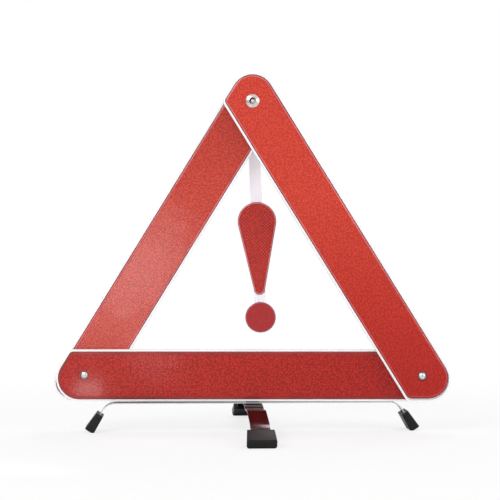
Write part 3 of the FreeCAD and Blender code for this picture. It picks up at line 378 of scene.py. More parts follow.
# %% Build the tree
SAME_CORNER = 0.02 * MM
SHEET_INPUTS = [
    ("Length", "NodeSocketFloat", 0.1),
    ("Width", "NodeSocketFloat", 0.05),
    ("Sides", "NodeSocketInt", 6),
    ("Corner", "NodeSocketFloat", 0.0015),
    ("Step Along", "NodeSocketFloat", 0.0045),
    ("Step Across", "NodeSocketFloat", 0.0026),
    ("Scallop", "NodeSocketFloat", 0.25),
    ("Relief", "NodeSocketFloat", 0.0005),
    ("Material", "NodeSocketMaterial", None),
]


def prism_tree():
    """A sheet of prisms over a rectangle, with its peaks at depth 0."""
    tree, given, result = new_tree("prism_sheet", SHEET_INPUTS)
    size = {name: given.outputs[name] for name, kind, value in SHEET_INPUTS}
    spread = tree.nodes.new("GeometryNodeInstanceOnPoints")
    tree.links.new(shifted_grids(tree, size), spread.inputs["Points"])
    tree.links.new(prism_tile(tree, size), spread.inputs["Instance"])
    real = tree.nodes.new("GeometryNodeRealizeInstances")
    tree.links.new(spread.outputs[0], real.inputs[0])
    merge = tree.nodes.new("GeometryNodeMergeByDistance")
    merge.inputs["Distance"].default_value = SAME_CORNER
    tree.links.new(real.outputs[0], merge.inputs["Geometry"])
    paint = tree.nodes.new("GeometryNodeSetMaterial")
    tree.links.new(merge.outputs[0], paint.inputs["Geometry"])
    tree.links.new(size["Material"], paint.inputs["Material"])
    tree.links.new(paint.outputs[0], result.inputs[0])
    return tree


def run_tree(made, tree, values):
    """Gives an object a tree, sets its inputs by identifier and keeps the result as a plain mesh."""
    modifier = made.modifiers.new(tree.name, "NODES")
    modifier.node_group = tree
    for item in tree.interface.items_tree:
        if item.in_out == "INPUT" and item.name in values:
            modifier[item.identifier] = values[item.name]
    return settle(made)


prism_sheet = prism_tree()
print("nodes in the prism tree:", len(prism_sheet.nodes))

# %% Describe the two patterns
SQUARE_FACES = 0.25


def cube_corners(pitch, relief):
    """Inputs for hexagons of cube corners."""
    corner = pitch / math.sqrt(3)
    return {"Sides": 6, "Corner": corner, "Step Along": 3 * corner, "Step Across": pitch,
            "Scallop": SQUARE_FACES, "Relief": relief}


def diamonds(pitch, relief):
    """Inputs for four sided points whose corners touch along both axes."""
    return {"Sides": 4, "Corner": pitch / 2, "Step Along": pitch, "Step Across": pitch,
            "Scallop": 0.0, "Relief": relief}


coarse = cube_corners(2.6 * MM, 0.42 * MM)
fine = cube_corners(2.3 * MM, 0.26 * MM)
print("prism pitch in mm, bottom arm and side arms:", round(coarse["Step Across"] / MM, 1),
      round(fine["Step Across"] / MM, 1))

# %% [markdown]
# ## Colours of the materials
# A plain colour from edge to edge looks like a drawing. A painted image would bring life but would be
# one more file, and it would have to be unwrapped onto every piece. So each finish is a small node
# tree: a base colour that varies a little over the piece, a fine bump at the scale of its grain, and a
# roughness that is broken up by the same pattern. All patterns read Object coordinates, so they ride
# with the piece as the triangle folds.

# %% Make colours and plain materials
def linear(red, green, blue):
    """A colour given as 0 to 255, as the linear values that the shader takes."""
    def one(value):
        share = value / 255
        return share / 12.92 if share <= 0.04045 else ((share + 0.055) / 1.055) ** 2.4
    return (one(red), one(green), one(blue), 1.0)


def shade(colour, share):
    """A colour made darker or lighter by a share."""
    return tuple(min(value * share, 1.0) for value in colour[:3]) + (1.0,)


def new_material(name, colour, roughness, **sockets):
    """A material with its shader set. Extra sockets are given with underscores for spaces."""
    material = bpy.data.materials.new(name)
    material.use_nodes = True
    shader = material.node_tree.nodes["Principled BSDF"]
    shader.inputs["Base Color"].default_value = colour
    shader.inputs["Roughness"].default_value = roughness
    for socket, value in sockets.items():
        shader.inputs[socket.replace("_", " ")].default_value = value
    return material


print("a middle grey of 128 is", round(linear(128, 128, 128)[0], 3), "in linear light")


# %% Read a piece's own coordinates and vary them
def own_place(tree):
    """The coordinates of the piece that has the material."""
    return tree.nodes.new("ShaderNodeTexCoord").outputs["Object"]


def noise(material, scale, detail=2.0, stretch=(1, 1, 1)):
    """A noise pattern on the piece's own coordinates, and its value output."""
    tree = material.node_tree
    sized = tree.nodes.new("ShaderNodeMapping")
    sized.inputs["Scale"].default_value = stretch
    pattern = tree.nodes.new("ShaderNodeTexNoise")
    pattern.inputs["Scale"].default_value = scale
    pattern.inputs["Detail"].default_value = detail
    tree.links.new(own_place(tree), sized.inputs["Vector"])
    tree.links.new(sized.outputs[0], pattern.inputs["Vector"])
    return pattern.outputs["Fac"]


def map_range(tree, value, low, high, start=0.0, end=1.0, kind="LINEAR"):
    """Runs from a start to an end while a value runs between two limits, and stays there beyond."""
    node = tree.nodes.new("ShaderNodeMapRange")
    node.interpolation_type = kind
    for label, number in (("From Min", low), ("From Max", high), ("To Min", start), ("To Max", end)):
        node.inputs[label].default_value = number
    tree.links.new(value, node.inputs["Value"])
    return node.outputs["Result"]


# %% Run a pattern into the shader
def colour_ramp(tree, factor, dark, light, limits=(0.0, 1.0)):
    """A colour that runs from one to another between two limits of a value."""
    ramp = tree.nodes.new("ShaderNodeValToRGB")
    ramp.color_ramp.elements[0].position, ramp.color_ramp.elements[1].position = limits
    ramp.color_ramp.elements[0].color = dark
    ramp.color_ramp.elements[1].color = light
    tree.links.new(factor, ramp.inputs["Fac"])
    return ramp.outputs["Color"]


def blend_colours(material, factor, dark, light, limits=(0.35, 0.65)):
    """Runs a value from one base colour to another. Noise seldom leaves the usual limits."""
    tree = material.node_tree
    colour = colour_ramp(tree, factor, dark, light, limits)
    tree.links.new(colour, tree.nodes["Principled BSDF"].inputs["Base Color"])


def vary_roughness(material, factor, low, high):
    """Runs a value between two roughnesses."""
    tree = material.node_tree
    tree.links.new(map_range(tree, factor, 0.0, 1.0, low, high),
                   tree.nodes["Principled BSDF"].inputs["Roughness"])


def add_bump(material, height, strength, distance):
    """A bump from a value, with a real depth in metres."""
    tree = material.node_tree
    bump = tree.nodes.new("ShaderNodeBump")
    bump.inputs["Strength"].default_value = strength
    bump.inputs["Distance"].default_value = distance
    tree.links.new(height, bump.inputs["Height"])
    tree.links.new(bump.outputs["Normal"], tree.nodes["Principled BSDF"].inputs["Normal"])


def multiply_base(material, factor):
    """Multiplies the base colour, whatever feeds it, by a colour or a value."""
    tree = material.node_tree
    base = tree.nodes["Principled BSDF"].inputs["Base Color"]
    product = tree.nodes.new("ShaderNodeVectorMath")
    product.operation = "MULTIPLY"
    tree.links.new(base.links[0].from_socket, product.inputs[0])
    tree.links.new(factor, product.inputs[1])
    tree.links.new(product.outputs[0], base)


# %% [markdown]
# ## Red prism plastic
# The plates are clear red acrylic with a smooth skin over the prisms. Real refraction through the skin
# would show them, but it takes hundreds of samples to settle. A coat stands for that skin instead: it
# stays flat while the facets under it tilt, so the gloss is calm and the red below glitters. Its
# normal is a fixed direction in the piece's own space, the plate's own front. Seen from a few steps
# away the prisms melt into rows of bright glints with darker red between them. A cell pattern of about
# the same pitch paints those glints into the base colour, with a painted highlight in the middle of
# each cell and a random tone for each cell.

# %% Scatter rows of bright dots, painted glints of the prisms
DOT_MIDDLE = 0.85
DOT_FALL = -1.3
DOT_CHANCE = 0.35


def glint_dots(material, pitch, stray, turn):
    """Rows of bright dots in the plane of the arms, no two alike: painted glints of the prisms. Stray
    loosens the rows.
    """
    tree = material.node_tree
    turned = tree.nodes.new("ShaderNodeMapping")
    turned.inputs["Rotation"].default_value = (0, 0, turn)
    pattern = tree.nodes.new("ShaderNodeTexVoronoi")
    pattern.voronoi_dimensions = "2D"
    pattern.inputs["Scale"].default_value = 1 / pitch
    pattern.inputs["Randomness"].default_value = stray
    parts = separated(tree, own_place(tree))
    tree.links.new(combined(tree, parts["X"], parts["Z"]), turned.inputs["Vector"])
    tree.links.new(turned.outputs[0], pattern.inputs["Vector"])
    # The bright middle of each cell is a painted highlight.
    bright = calculate(tree, "MULTIPLY_ADD", pattern.outputs["Distance"], DOT_FALL, DOT_MIDDLE)
    chance = calculate(tree, "MULTIPLY", pattern.outputs["Color"], DOT_CHANCE)
    return calculate(tree, "ADD", bright, chance)


print("a dot fades out", round(-DOT_MIDDLE / DOT_FALL, 2), "of a pitch from its middle")

# %% Lay a flat skin over the prisms
SKIN_WAVES = 26.0
SKIN_WAVE_HEIGHT = 0.35 * MM


def flat_coat(material, front):
    """Lets the coat keep the plate's flat front, with slow waves as in any moulded sheet."""
    tree = material.node_tree
    fixed = tree.nodes.new("ShaderNodeNormalMap")
    fixed.space = "OBJECT"
    fixed.inputs["Color"].default_value = tuple(0.5 + 0.5 * value for value in front) + (1.0,)
    bump = tree.nodes.new("ShaderNodeBump")
    bump.inputs["Distance"].default_value = SKIN_WAVE_HEIGHT
    tree.links.new(noise(material, SKIN_WAVES, 1.0), bump.inputs["Height"])
    tree.links.new(fixed.outputs["Normal"], bump.inputs["Normal"])
    tree.links.new(bump.outputs["Normal"], tree.nodes["Principled BSDF"].inputs["Coat Normal"])


print("slow waves in the skin, about every", round(1000 / SKIN_WAVES), "mm")

# %% Mix the red of the prisms and the red of the border
ACRYLIC_IOR = 1.49
FACET_ROUGHNESS = 0.36
SKIN_ROUGHNESS = 0.14
BORDER_ROUGHNESS = 0.28
LOOSE_ROWS = 0.85
DOT_LIMITS = (0.30, 1.05)
WARM_GREEN = 1.25
WARM_BLUE = 0.95
BORDER_DRIFT = 30.0
BORDER_GRAIN = 260.0


def prism_red(name, look, front):
    """The facets: rows of painted glints, warmer than the red between them, under a clear skin."""
    colour = look["prisms"]
    material = new_material(name, colour, FACET_ROUGHNESS, IOR=ACRYLIC_IOR, Specular_IOR_Level=0.12,
                            Coat_Weight=look["gloss"], Coat_Roughness=SKIN_ROUGHNESS)
    light = shade(colour, 1 + look["speck"])
    warm = (light[0], light[1] * WARM_GREEN, light[2] * WARM_BLUE, 1.0)
    painted_glints = glint_dots(material, look["pitch"], look.get("stray", LOOSE_ROWS), look.get("turn", 0.0))
    blend_colours(material, painted_glints, shade(colour, 1 - look["speck"]), warm, DOT_LIMITS)
    flat_coat(material, front)
    return material


def border_red(name, colour):
    """The smooth border round the prisms, darker because nothing behind it throws light back. Its edge
    zone is painted shade at the rim, and its bead line a painted highlight.
    """
    material = new_material(name, colour, BORDER_ROUGHNESS, IOR=ACRYLIC_IOR, Specular_IOR_Level=0.3,
                            Coat_Weight=0.4, Coat_Roughness=0.12)
    blend_colours(material, noise(material, BORDER_DRIFT), shade(colour, 0.85), shade(colour, 1.15))
    add_bump(material, noise(material, BORDER_GRAIN), 0.15, 0.05 * MM)
    return material


print("a bright dot has", round((WARM_GREEN - 1) * 100), "% more green, so it is warmer")

# %% Choose the reds of each plate
# The arms are one red plastic, so the different reds of their prisms and bands are painted light: the
# bottom arm gets a shaded copy and the side arms lit copies, as each arm's prisms throw the light back
# differently.
RED_AND_LIGHT_OF = {
    "bottom": {"edge": linear(148, 54, 56), "highlight_line": linear(150, 40, 40), "band": linear(142, 34, 32),
               "prisms": linear(182, 32, 21), "gloss": 0.42, "speck": 0.30, "pitch": 2.7 * MM},
    "right": {"edge": linear(132, 46, 52), "highlight_line": linear(222, 108, 108), "band": linear(190, 52, 46),
              "prisms": linear(206, 62, 50), "gloss": 0.35, "speck": 0.17, "pitch": 2.5 * MM},
    "left": {"edge": linear(138, 56, 62), "highlight_line": linear(214, 104, 104), "band": linear(150, 40, 40),
             "prisms": linear(200, 60, 47), "gloss": 1.0, "speck": 0.22, "pitch": 2.5 * MM},
    "drop": {"edge": linear(138, 74, 86), "highlight_line": linear(216, 122, 122), "band": linear(176, 50, 48),
             "prisms": linear(183, 45, 40), "gloss": 0.35, "speck": 0.30, "pitch": 2.7 * MM,
             "turn": math.pi / 4, "stray": 0.0},
    "dot": {"edge": linear(140, 84, 100), "highlight_line": linear(176, 62, 70), "band": linear(168, 48, 54),
            "prisms": linear(166, 42, 46), "gloss": 0.30, "speck": 0.05, "pitch": 2.2 * MM},
}


def four_reds(name, front):
    """The finishes of one plate, from its edge to its middle: painted shade at the edge, a painted
    highlight on the bead line, the band and the prisms.
    """
    look = RED_AND_LIGHT_OF[name]
    borders = [border_red(f"{name}_{zone}_red", look[zone]) for zone in ("edge", "highlight_line", "band")]
    return borders + [prism_red(f"{name}_prism_red", look, front)]


print("plates with reds of their own:", ", ".join(RED_AND_LIGHT_OF))

# %% [markdown]
# ## A prism plate
# The blank is a plate whose border steps down to its edge, with a low bead where the border meets the
# field. The sheet could simply be laid on top of the blank, but then the plate would be an open skin
# that shows a gap from the side. So the prisms are cut into it as its mould would form them: the
# sheet, closed into a block in front, is trimmed to the field inside the border and then taken out of
# the blank. The result is one closed solid with a crisp facet for every prism. Each face keeps the
# material slot of its tool.

# %% Describe the border and paint a solid
# The edge zone is a greyed red of painted shade at the rim of the plate, and the bead line zone is a
# painted highlight.
PAINTED_EDGE, HIGHLIGHT_LINE, BAND, PRISMS = range(4)
BORDER = [
    (0.00, 0.60 * MM, PAINTED_EDGE), (0.10, 0.32 * MM, PAINTED_EDGE), (0.38, 0.16 * MM, PAINTED_EDGE),
    (0.50, 0.02 * MM, HIGHLIGHT_LINE), (0.76, 0.02 * MM, HIGHLIGHT_LINE), (0.86, 0.12 * MM, HIGHLIGHT_LINE),
    (0.97, 0.00 * MM, BAND),
]
print("steps across the border, as shares of its width:", [share for share, depth, slot in BORDER])


def paint_slots(made, reds, slot=None):
    """Gives a solid the plate's material slots, and all its faces one of them."""
    if made.data.materials:
        made.data.materials.clear()
    for red in reds:
        made.data.materials.append(red)
    if slot is not None:
        made.data.polygons.foreach_set("material_index", [slot] * len(made.data.polygons))
    return made


# %% Close the prism sheet into a block
FIELD_SINK = 0.12 * MM
CLEAR_FRONT = 1.0 * MM


def prism_block(name, low, high, pattern, reds):
    """The prism sheet closed in front, which is the shape of the mould's insert."""
    sheet = run_tree(piece(name, bpy.data.meshes.new(name)), prism_sheet, {
        "Length": high.x - low.x, "Width": high.y - low.y, "Material": reds[PRISMS], **pattern,
    })
    middle = (low + high) / 2
    form = bmesh.new()
    form.from_mesh(sheet.data)
    bmesh.ops.translate(form, verts=form.verts, vec=(middle.x, middle.y, FIELD_SINK))
    rim = [edge for edge in form.edges if edge.is_boundary]
    sides = bmesh.ops.extrude_edge_only(form, edges=rim)["geom"]
    for vertex in [item for item in sides if isinstance(item, bmesh.types.BMVert)]:
        vertex.co.z = -CLEAR_FRONT
    loop = [item for item in sides if isinstance(item, bmesh.types.BMEdge) and item.is_boundary]
    bmesh.ops.contextual_create(form, geom=loop)
    bmesh.ops.recalc_face_normals(form, faces=form.faces)
    form.to_mesh(sheet.data)
    form.free()
    return paint_slots(sheet, reds, PRISMS)


print("the peaks of the prisms lie", round(FIELD_SINK / MM, 2), "mm below the border")

# %% Cut the prisms into a plate
SMOOTH_BELOW = math.radians(25)


def finish_plate(plate, place):
    """Smooths the border but not the prisms, and moves the mesh from its flat frame to its place."""
    mesh = plate.data
    mesh.shade_smooth()
    mesh.set_sharp_from_angle(angle=SMOOTH_BELOW)
    for face in mesh.polygons:
        face.use_smooth = face.material_index != PRISMS
    mesh.transform(place)
    print(plate.name, "has", len(mesh.polygons), "faces")
    return plate


def prism_plate(name, place, outline, widths, thickness, pattern, wells, reds, pins=None):
    """A finished plate. The widths are the border's on each side of the outline."""
    def inset(share):
        return outline([width * share for width in widths])
    rings = [ring_at(inset(0.0), thickness)]
    rings += [ring_at(inset(share), depth) for share, depth, slot in BORDER]
    paints = [PAINTED_EDGE, PAINTED_EDGE] + [slot for share, depth, slot in BORDER[1:]] + [PRISMS]
    blank = paint_slots(piece(name, closed_mesh(name, rings, paints)), reds)
    field = inset(1.0)
    low = Vector((min(point.x for point in field), min(point.y for point in field)))
    high = Vector((max(point.x for point in field), max(point.y for point in field)))
    block = prism_block(f"{name}_block", low, high, pattern, reds)
    trim = closed_mesh(f"{name}_trim", [ring_at(field, depth) for depth in (-2 * CLEAR_FRONT, thickness)])
    carve(block, paint_slots(piece(f"{name}_trim", trim), reds, BAND), "INTERSECT")
    carve(blank, block, "DIFFERENCE")
    for centre, section in wells:
        plug = closed_mesh(f"{name}_plug", lathe_rings(section, centre))
        # The wall of each well takes the edge zone's painted shade.
        carve(blank, paint_slots(piece(f"{name}_plug", plug), reds, PAINTED_EDGE), "DIFFERENCE")
    if pins:
        carve(blank, paint_slots(pins, reds, BAND), "UNION")
    return finish_plate(blank, place)


# %% [markdown]
# ## The three arm plates
# The bottom arm's border is broad along both edges, and the side arms' is narrow but for the right
# arm's foot, where the plate also ends short of the rim and leaves more white. At a rivet the plate
# has a stepped well, so that the head sits in a red cup whose wall is darkened with painted shade. All
# three plates differ in their ends and corners, so one function with a plan for each arm makes them.
# Along each arm the red also deepens or pales, because light meets the prisms at a changing angle and
# they throw it back unevenly. More lamps could give that but would reach the other arms too. A tint
# along one of the piece's own axes stands for it: it is painted on, so it stays when the light moves.

# %% Shape the wells round the rivets
WELL = 5.4 * MM
HEAD_SEAT = 4.5 * MM
STUD_WELL = 8.0 * MM
POST = 2.0 * MM
SEAT_WALL = 0.35 * MM
plate_thickness = 2.2 * MM
through = plate_thickness + CLEAR_FRONT
seat_depth = plate_thickness - SEAT_WALL


def straight_well(radius):
    """A plain round hole right through the plate."""
    return [(radius, -CLEAR_FRONT), (radius, through)]


stepped_well = [(WELL, -CLEAR_FRONT), (WELL, seat_depth), (HEAD_SEAT, seat_depth), (HEAD_SEAT, through)]
print("the seat of a rivet's head is", round(seat_depth / MM, 2), "mm below the plate's front")

# %% Plan the three plates
BROAD = 3.3 * MM
NARROW = 2.4 * MM
arm_plan = {
    "bottom": {
        "angles": (base_angle, base_angle), "pitch": base_pitch, "pattern": coarse,
        "corners": (OUTER_CORNER, INNER_CORNER, INNER_CORNER, OUTER_CORNER),
        "widths": (BROAD, NARROW, BROAD, NARROW),
        "wells": (stepped_well, straight_well(WELL)), "body": "base",
        "fade": ("X", 0.15, -0.02, (0.90, 0.52, 0.46)),
    },
    "right": {
        "angles": (base_angle, apex_angle), "pitch": side_pitch, "pattern": fine,
        "corners": (OUTER_CORNER, INNER_CORNER, FOOT_CORNER, OUTER_CORNER),
        "widths": (NARROW, NARROW, NARROW, BROAD), "trim": 1.8 * MM,
        "wells": (stepped_well, straight_well(POST)), "body": "right_arm",
        "fade": ("Z", 0.05, 0.25, (0.69, 0.22, 0.20)),
    },
    "left": {
        "angles": (apex_angle, base_angle), "pitch": side_pitch, "pattern": fine,
        "corners": (LOWER_LEFT_CORNER, INNER_CORNER, INNER_CORNER, OUTER_CORNER),
        "widths": (NARROW, NARROW, NARROW, NARROW),
        "wells": (straight_well(STUD_WELL), straight_well(WELL)), "body": "left_arm",
        "fade": ("Z", 0.36, 0.26, (0.86, 0.72, 0.70)),
    },
}
print("plans:", ", ".join(arm_plan))

# %% Make the arm plates
def fade_along(material, axis, low, high, tint):
    """Multiplies the base colour by a tint that fades out from low to high on one of its axes."""
    tree = material.node_tree
    along = separated(tree, own_place(tree))[axis]
    share = map_range(tree, along, low, high)
    multiply_base(material, colour_ramp(tree, share, (*tint, 1), (1, 1, 1, 1)))


for arm, plan in arm_plan.items():
    place = arm_frame[arm]
    reds = four_reds(arm, -place.to_3x3().col[2])
    half = reach(f"{arm}_arm_reflector", place)[1].y
    outline = arm_outline(half, plan["pitch"], *plan["angles"], plan["corners"], plan.get("trim", 0.0))
    centres = ((0, 0), (plan["pitch"], 0))
    plate = prism_plate(f"{arm}_arm_prisms", place, outline, plan["widths"], plate_thickness,
                        plan["pattern"], list(zip(centres, plan["wells"])), reds)
    for red in (reds[HIGHLIGHT_LINE], reds[PRISMS]):
        fade_along(red, *plan["fade"])
    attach(plate, plan["body"])
    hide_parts(f"{arm}_arm_reflector")
    print(plate.name, "rides on", plan["body"])

# %% [markdown]
# ## The hanging mark
# The drop and the dot of the mark are plates of the same kind, but thinner, and with a lattice of
# diamonds. A drop could be drawn with handles on a curve, but its moulded border needs the same shape
# at many insets. Two circles and the lines that touch both are a formula, which keeps the lines
# tangent at every inset. A dot is one circle.

# %% Set the mark's frame and outlines
MARK_TILT = math.radians(2.15)
TIP_RADIUS = 6.0 * MM
ARC_STEPS = 40
mark_along = -leaning(left_back, math.pi / 2 + MARK_TILT)
mark_frame = flat_frame(press_stud, mark_along, left_back)
print("the mark hangs", round(math.degrees(MARK_TILT), 2), "degrees off the upright")


def drop_outline(head, head_radius, tip, tip_radius):
    """A function of the inset that goes round both circles and along their shared tangents."""
    touch = math.acos((head_radius - tip_radius) / (tip - head))
    arcs = (
        (head, head_radius, touch, 2 * math.pi - 2 * touch),
        (tip, tip_radius, -touch, 2 * touch),
    )

    def outline(insets):
        points = []
        for centre, radius, start, sweep in arcs:
            for step in range(ARC_STEPS + 1):
                angle = start + sweep * step / ARC_STEPS
                spoke = Vector((math.cos(angle), math.sin(angle)))
                points.append(Vector((centre, 0)) + spoke * (radius - insets[0]))
        return points
    return outline


def dot_outline(centre, radius):
    """A function of the inset that gives a circle."""
    def outline(insets):
        left = radius - insets[0]
        return [
            Vector((centre + left * math.cos(turn), left * math.sin(turn)))
            for turn in round_turns(2 * ARC_STEPS)
        ]
    return outline


# %% [markdown]
# ## Pins behind the mark
# The drop and the dot are held by pins, moulded in one with them, which go through the pale strip and
# have their ends flattened behind it. They could be modelled a second time, but the working model has
# them already. So a block as wide as the plate takes away all of a copy but its pins, and the pins are
# joined to the new plate.

# %% Keep the pins of a node
PIN_ROOT = 0.2 * MM
SAME_POINT = 0.002 * MM
SAME_PLANE = math.radians(0.5)
COVER_MARGIN = 0.1


def merged_mesh(node):
    """A copy of a node's mesh whose triangles share their corners and form whole faces."""
    mesh = frame["nodes"][node].data.copy()
    form = bmesh.new()
    form.from_mesh(mesh)
    bmesh.ops.remove_doubles(form, verts=form.verts, dist=SAME_POINT)
    bmesh.ops.dissolve_limit(form, angle_limit=SAME_PLANE, verts=form.verts, edges=form.edges)
    form.to_mesh(mesh)
    form.free()
    return mesh


def pins_behind(node, place, depth):
    """The pins that a node has behind a depth, as a closed solid in the flat frame."""
    mesh = merged_mesh(node)
    mesh.transform(place.inverted())
    pins = piece(f"{node}_pins", mesh)
    low, high = reach(node, place)
    corners = ((low.x, low.y), (high.x, low.y), (high.x, high.y), (low.x, high.y))
    square = [Vector(corner) for corner in corners]
    around = [point + (point - (low.xy + high.xy) / 2) * COVER_MARGIN for point in square]
    cover = closed_mesh("cover", [ring_at(around, low.z - CLEAR_FRONT), ring_at(around, depth)])
    return carve(pins, piece("cover", cover), "DIFFERENCE")


print("the pins reach", round(PIN_ROOT / MM, 1), "mm into the new plate, so that they join")

# %% Make the drop and the dot
MARK_BORDER = 1.7 * MM
MARK_PATTERN = {"drop": diamonds(3.0 * MM, 0.45 * MM), "dot": diamonds(2.6 * MM, 0.06 * MM)}
carrier_front = reach("mark_carrier", mark_frame)[0].z
for name in ("drop", "dot"):
    low, high = reach(f"mark_{name}", mark_frame)
    radius = (high.y - low.y) / 2
    if name == "drop":
        outline = drop_outline(low.x + radius, radius, high.x - TIP_RADIUS, TIP_RADIUS)
    else:
        outline = dot_outline((low.x + high.x) / 2, radius)
    place = mark_frame @ Matrix.Translation((0, 0, low.z))
    thickness = carrier_front - low.z
    pins = pins_behind(f"mark_{name}", place, thickness - PIN_ROOT)
    plate = prism_plate(f"{name}_prisms", place, outline, (MARK_BORDER,) * 4, thickness,
                        MARK_PATTERN[name], [], four_reds(name, -left_back), pins)
    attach(plate, "warning_mark")
    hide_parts(f"mark_{name}")
    print(name, "is", round(thickness / MM, 2), "mm thick")

# %% [markdown]
# ## White housings and the pale carrier
# The housings are injection moulded in white plastic with a fine satin grain from the mould. The
# strip that carries the mark is thinner and a little milky, with a cool tint, and the washers between
# the arms are nylon. White is the hardest colour to keep: pure white has no shading left, so the
# colour stays just below it, drifts a little over the piece, and the grain breaks up the gloss. One
# function makes all four plastics, and only the milky one lets some light in under its surface.

# %% Make the plastics
DRIFT_SCALE = 18.0
GRAIN_STRENGTH = 0.35


def moulded(name, colour, roughness, grain, depth, **sockets):
    """A moulded plastic: slow drift of tone, spark eroded grain and uneven gloss."""
    material = new_material(name, colour, roughness, **sockets)
    drift = noise(material, DRIFT_SCALE, 3.0)
    blend_colours(material, drift, shade(colour, 0.95), shade(colour, 1.02))
    fine_grain = noise(material, grain, 2.0)
    vary_roughness(material, fine_grain, roughness - 0.06, roughness + 0.08)
    add_bump(material, fine_grain, GRAIN_STRENGTH, depth)
    return material


white_plastic = moulded("white_plastic", linear(246, 244, 245), 0.38, 1400.0, 0.03 * MM)
pale_plastic = moulded("pale_plastic", linear(245, 240, 247), 0.30, 900.0, 0.02 * MM,
                       Subsurface_Weight=0.25, Subsurface_Scale=0.002)
nylon = moulded("nylon", linear(222, 220, 212), 0.42, 1100.0, 0.02 * MM)
black_nylon = moulded("black_nylon", linear(30, 30, 32), 0.40, 1100.0, 0.02 * MM)
print("plastics:", ", ".join(one.name for one in (white_plastic, pale_plastic, nylon, black_nylon)))

# %% [markdown]
# ## Steel
# The rivets and the press stud are nickel plated, bright and slightly cloudy. The legs are cold
# rolled spring steel, almost a mirror, with lines along the rolling direction that draw reflections
# out. An anisotropic shader could draw them out too, but it gives no single lines. Each leg runs along
# one axis, so a noise that is stretched along that axis gives them, with nothing to unwrap.

# %% Roll and plate the steel
ALONG_LINES = 6.0
ACROSS_LINES = 900.0
CLOUD_SCALE = 420.0


def rolled_steel(name, along):
    """Near mirror steel with rolling lines along one axis."""
    material = new_material(name, linear(122, 113, 116), 0.14, Metallic=1.0,
                            Specular_Tint=linear(186, 178, 182))
    stretch = tuple(ALONG_LINES if axis == along else ACROSS_LINES for axis in "XYZ")
    lines = noise(material, 1.0, 3.0, stretch)
    blend_colours(material, lines, linear(110, 102, 105), linear(134, 124, 127))
    vary_roughness(material, lines, 0.08, 0.24)
    add_bump(material, lines, 0.12, 0.01 * MM)
    return material


def plated_steel(name, bright, roughness):
    """Nickel plate over a pressed head."""
    material = new_material(name, bright, roughness, Metallic=1.0)
    cloud = noise(material, CLOUD_SCALE, 3.0)
    blend_colours(material, cloud, shade(bright, 0.90), shade(bright, 1.06))
    vary_roughness(material, cloud, roughness - 0.05, roughness + 0.07)
    add_bump(material, cloud, 0.2, 0.006 * MM)
    return material


nickel = plated_steel("nickel_plate", linear(222, 218, 216), 0.36)
cap_nickel = plated_steel("cap_nickel", linear(212, 206, 204), 0.27)
cut_edge_steel_and_highlight = plated_steel("cut_steel_edge", linear(226, 224, 221), 0.48)
side_steel = rolled_steel("side_leg_steel", "X")
cross_steel = rolled_steel("cross_leg_steel", "Y")
print("metals:", ", ".join(one.name for one in (nickel, cap_nickel, cut_edge_steel_and_highlight, side_steel, cross_steel)))

# %% [markdown]
# ## The recess of the press stud
# The cap of the press stud has a shallow round recess, and one side of its wall looks dark, because it
# mirrors something dark in the room. The model's recess is right in shape but has nothing like that to
# mirror, and a dark card would show in every other metal piece too. So the base colour is dimmed where
# a point is inside the recess and also far from a second centre, which leaves a crescent.

# %% Paint shade on one side of the recess
RECESS_RADIUS = 3.8 * MM
RECESS_DEPTH = 0.8 * MM
RECESS_LEAN = Vector((1.0 * MM, 0, -1.0 * MM))
RECESS_SHADE = 0.90
INSIDE = (0.96, 1.04)
FAR_SIDE = (0.62, 0.95)


def distance_from(tree, point):
    """How far the shaded spot is from a fixed point of the piece."""
    away = tree.nodes.new("ShaderNodeVectorMath")
    away.operation = "DISTANCE"
    away.inputs[1].default_value = point
    tree.links.new(own_place(tree), away.inputs[0])
    return away.outputs["Value"]


def darken_recess(material, centre, radius, lean, shade_share):
    """Paints a dark crescent of shade into a round recess, on the side that its wall hides from the light.
    """
    tree = material.node_tree
    inside = map_range(tree, distance_from(tree, centre), INSIDE[0] * radius, INSIDE[1] * radius, 1.0, 0.0)
    far = map_range(tree, distance_from(tree, centre + lean), FAR_SIDE[0] * radius, FAR_SIDE[1] * radius)
    recess_shade = calculate(tree, "MULTIPLY", inside, far)
    multiply_base(material, calculate(tree, "MULTIPLY_ADD", recess_shade, -shade_share, 1.0))


cap_front = min(vertex.co.y for vertex in frame["nodes"]["snap_cap"].data.vertices)
recess = Vector((press_stud.x, cap_front + RECESS_DEPTH, press_stud.z))
# The dark crescent is painted shade.
darken_recess(cap_nickel, recess, RECESS_RADIUS, RECESS_LEAN, RECESS_SHADE)
print("the recess is", round(2 * RECESS_RADIUS / MM, 1), "mm wide")

# %% [markdown]
# ## Black rubber
# The feet are moulded rubber: nearly black, matt, with a coarse grain that scatters a grey sheen. A
# black with no grain would be a hole in the picture, so the colour, the gloss and the bump all
# follow one noise.

# %% Make the rubber
RUBBER_GRAIN = 900.0
rubber = new_material("black_rubber", linear(22, 22, 24), 0.40, Specular_IOR_Level=0.28,
                      Sheen_Weight=0.05)
rubber_grain = noise(rubber, RUBBER_GRAIN, 3.0)
blend_colours(rubber, rubber_grain, linear(6, 7, 8), linear(22, 23, 25))
vary_roughness(rubber, rubber_grain, 0.32, 0.50)
add_bump(rubber, rubber_grain, 0.4, 0.06 * MM)
print("rubber grain, grains in a centimetre:", round(RUBBER_GRAIN / 100))

# %% [markdown]
# ## Finishing the model's own pieces
# Turned and pressed pieces already have the right shape and only get their material. They could be
# copied and changed as the housings are below, but a rivet's dome has nothing to gain from it. A leg
# is a strip sheared from sheet, so its two narrow sides are a rougher cut edge, and they also get a
# much lighter steel, which is partly a painted highlight for the light that those edges catch. They
# get this second material by the way that they face.

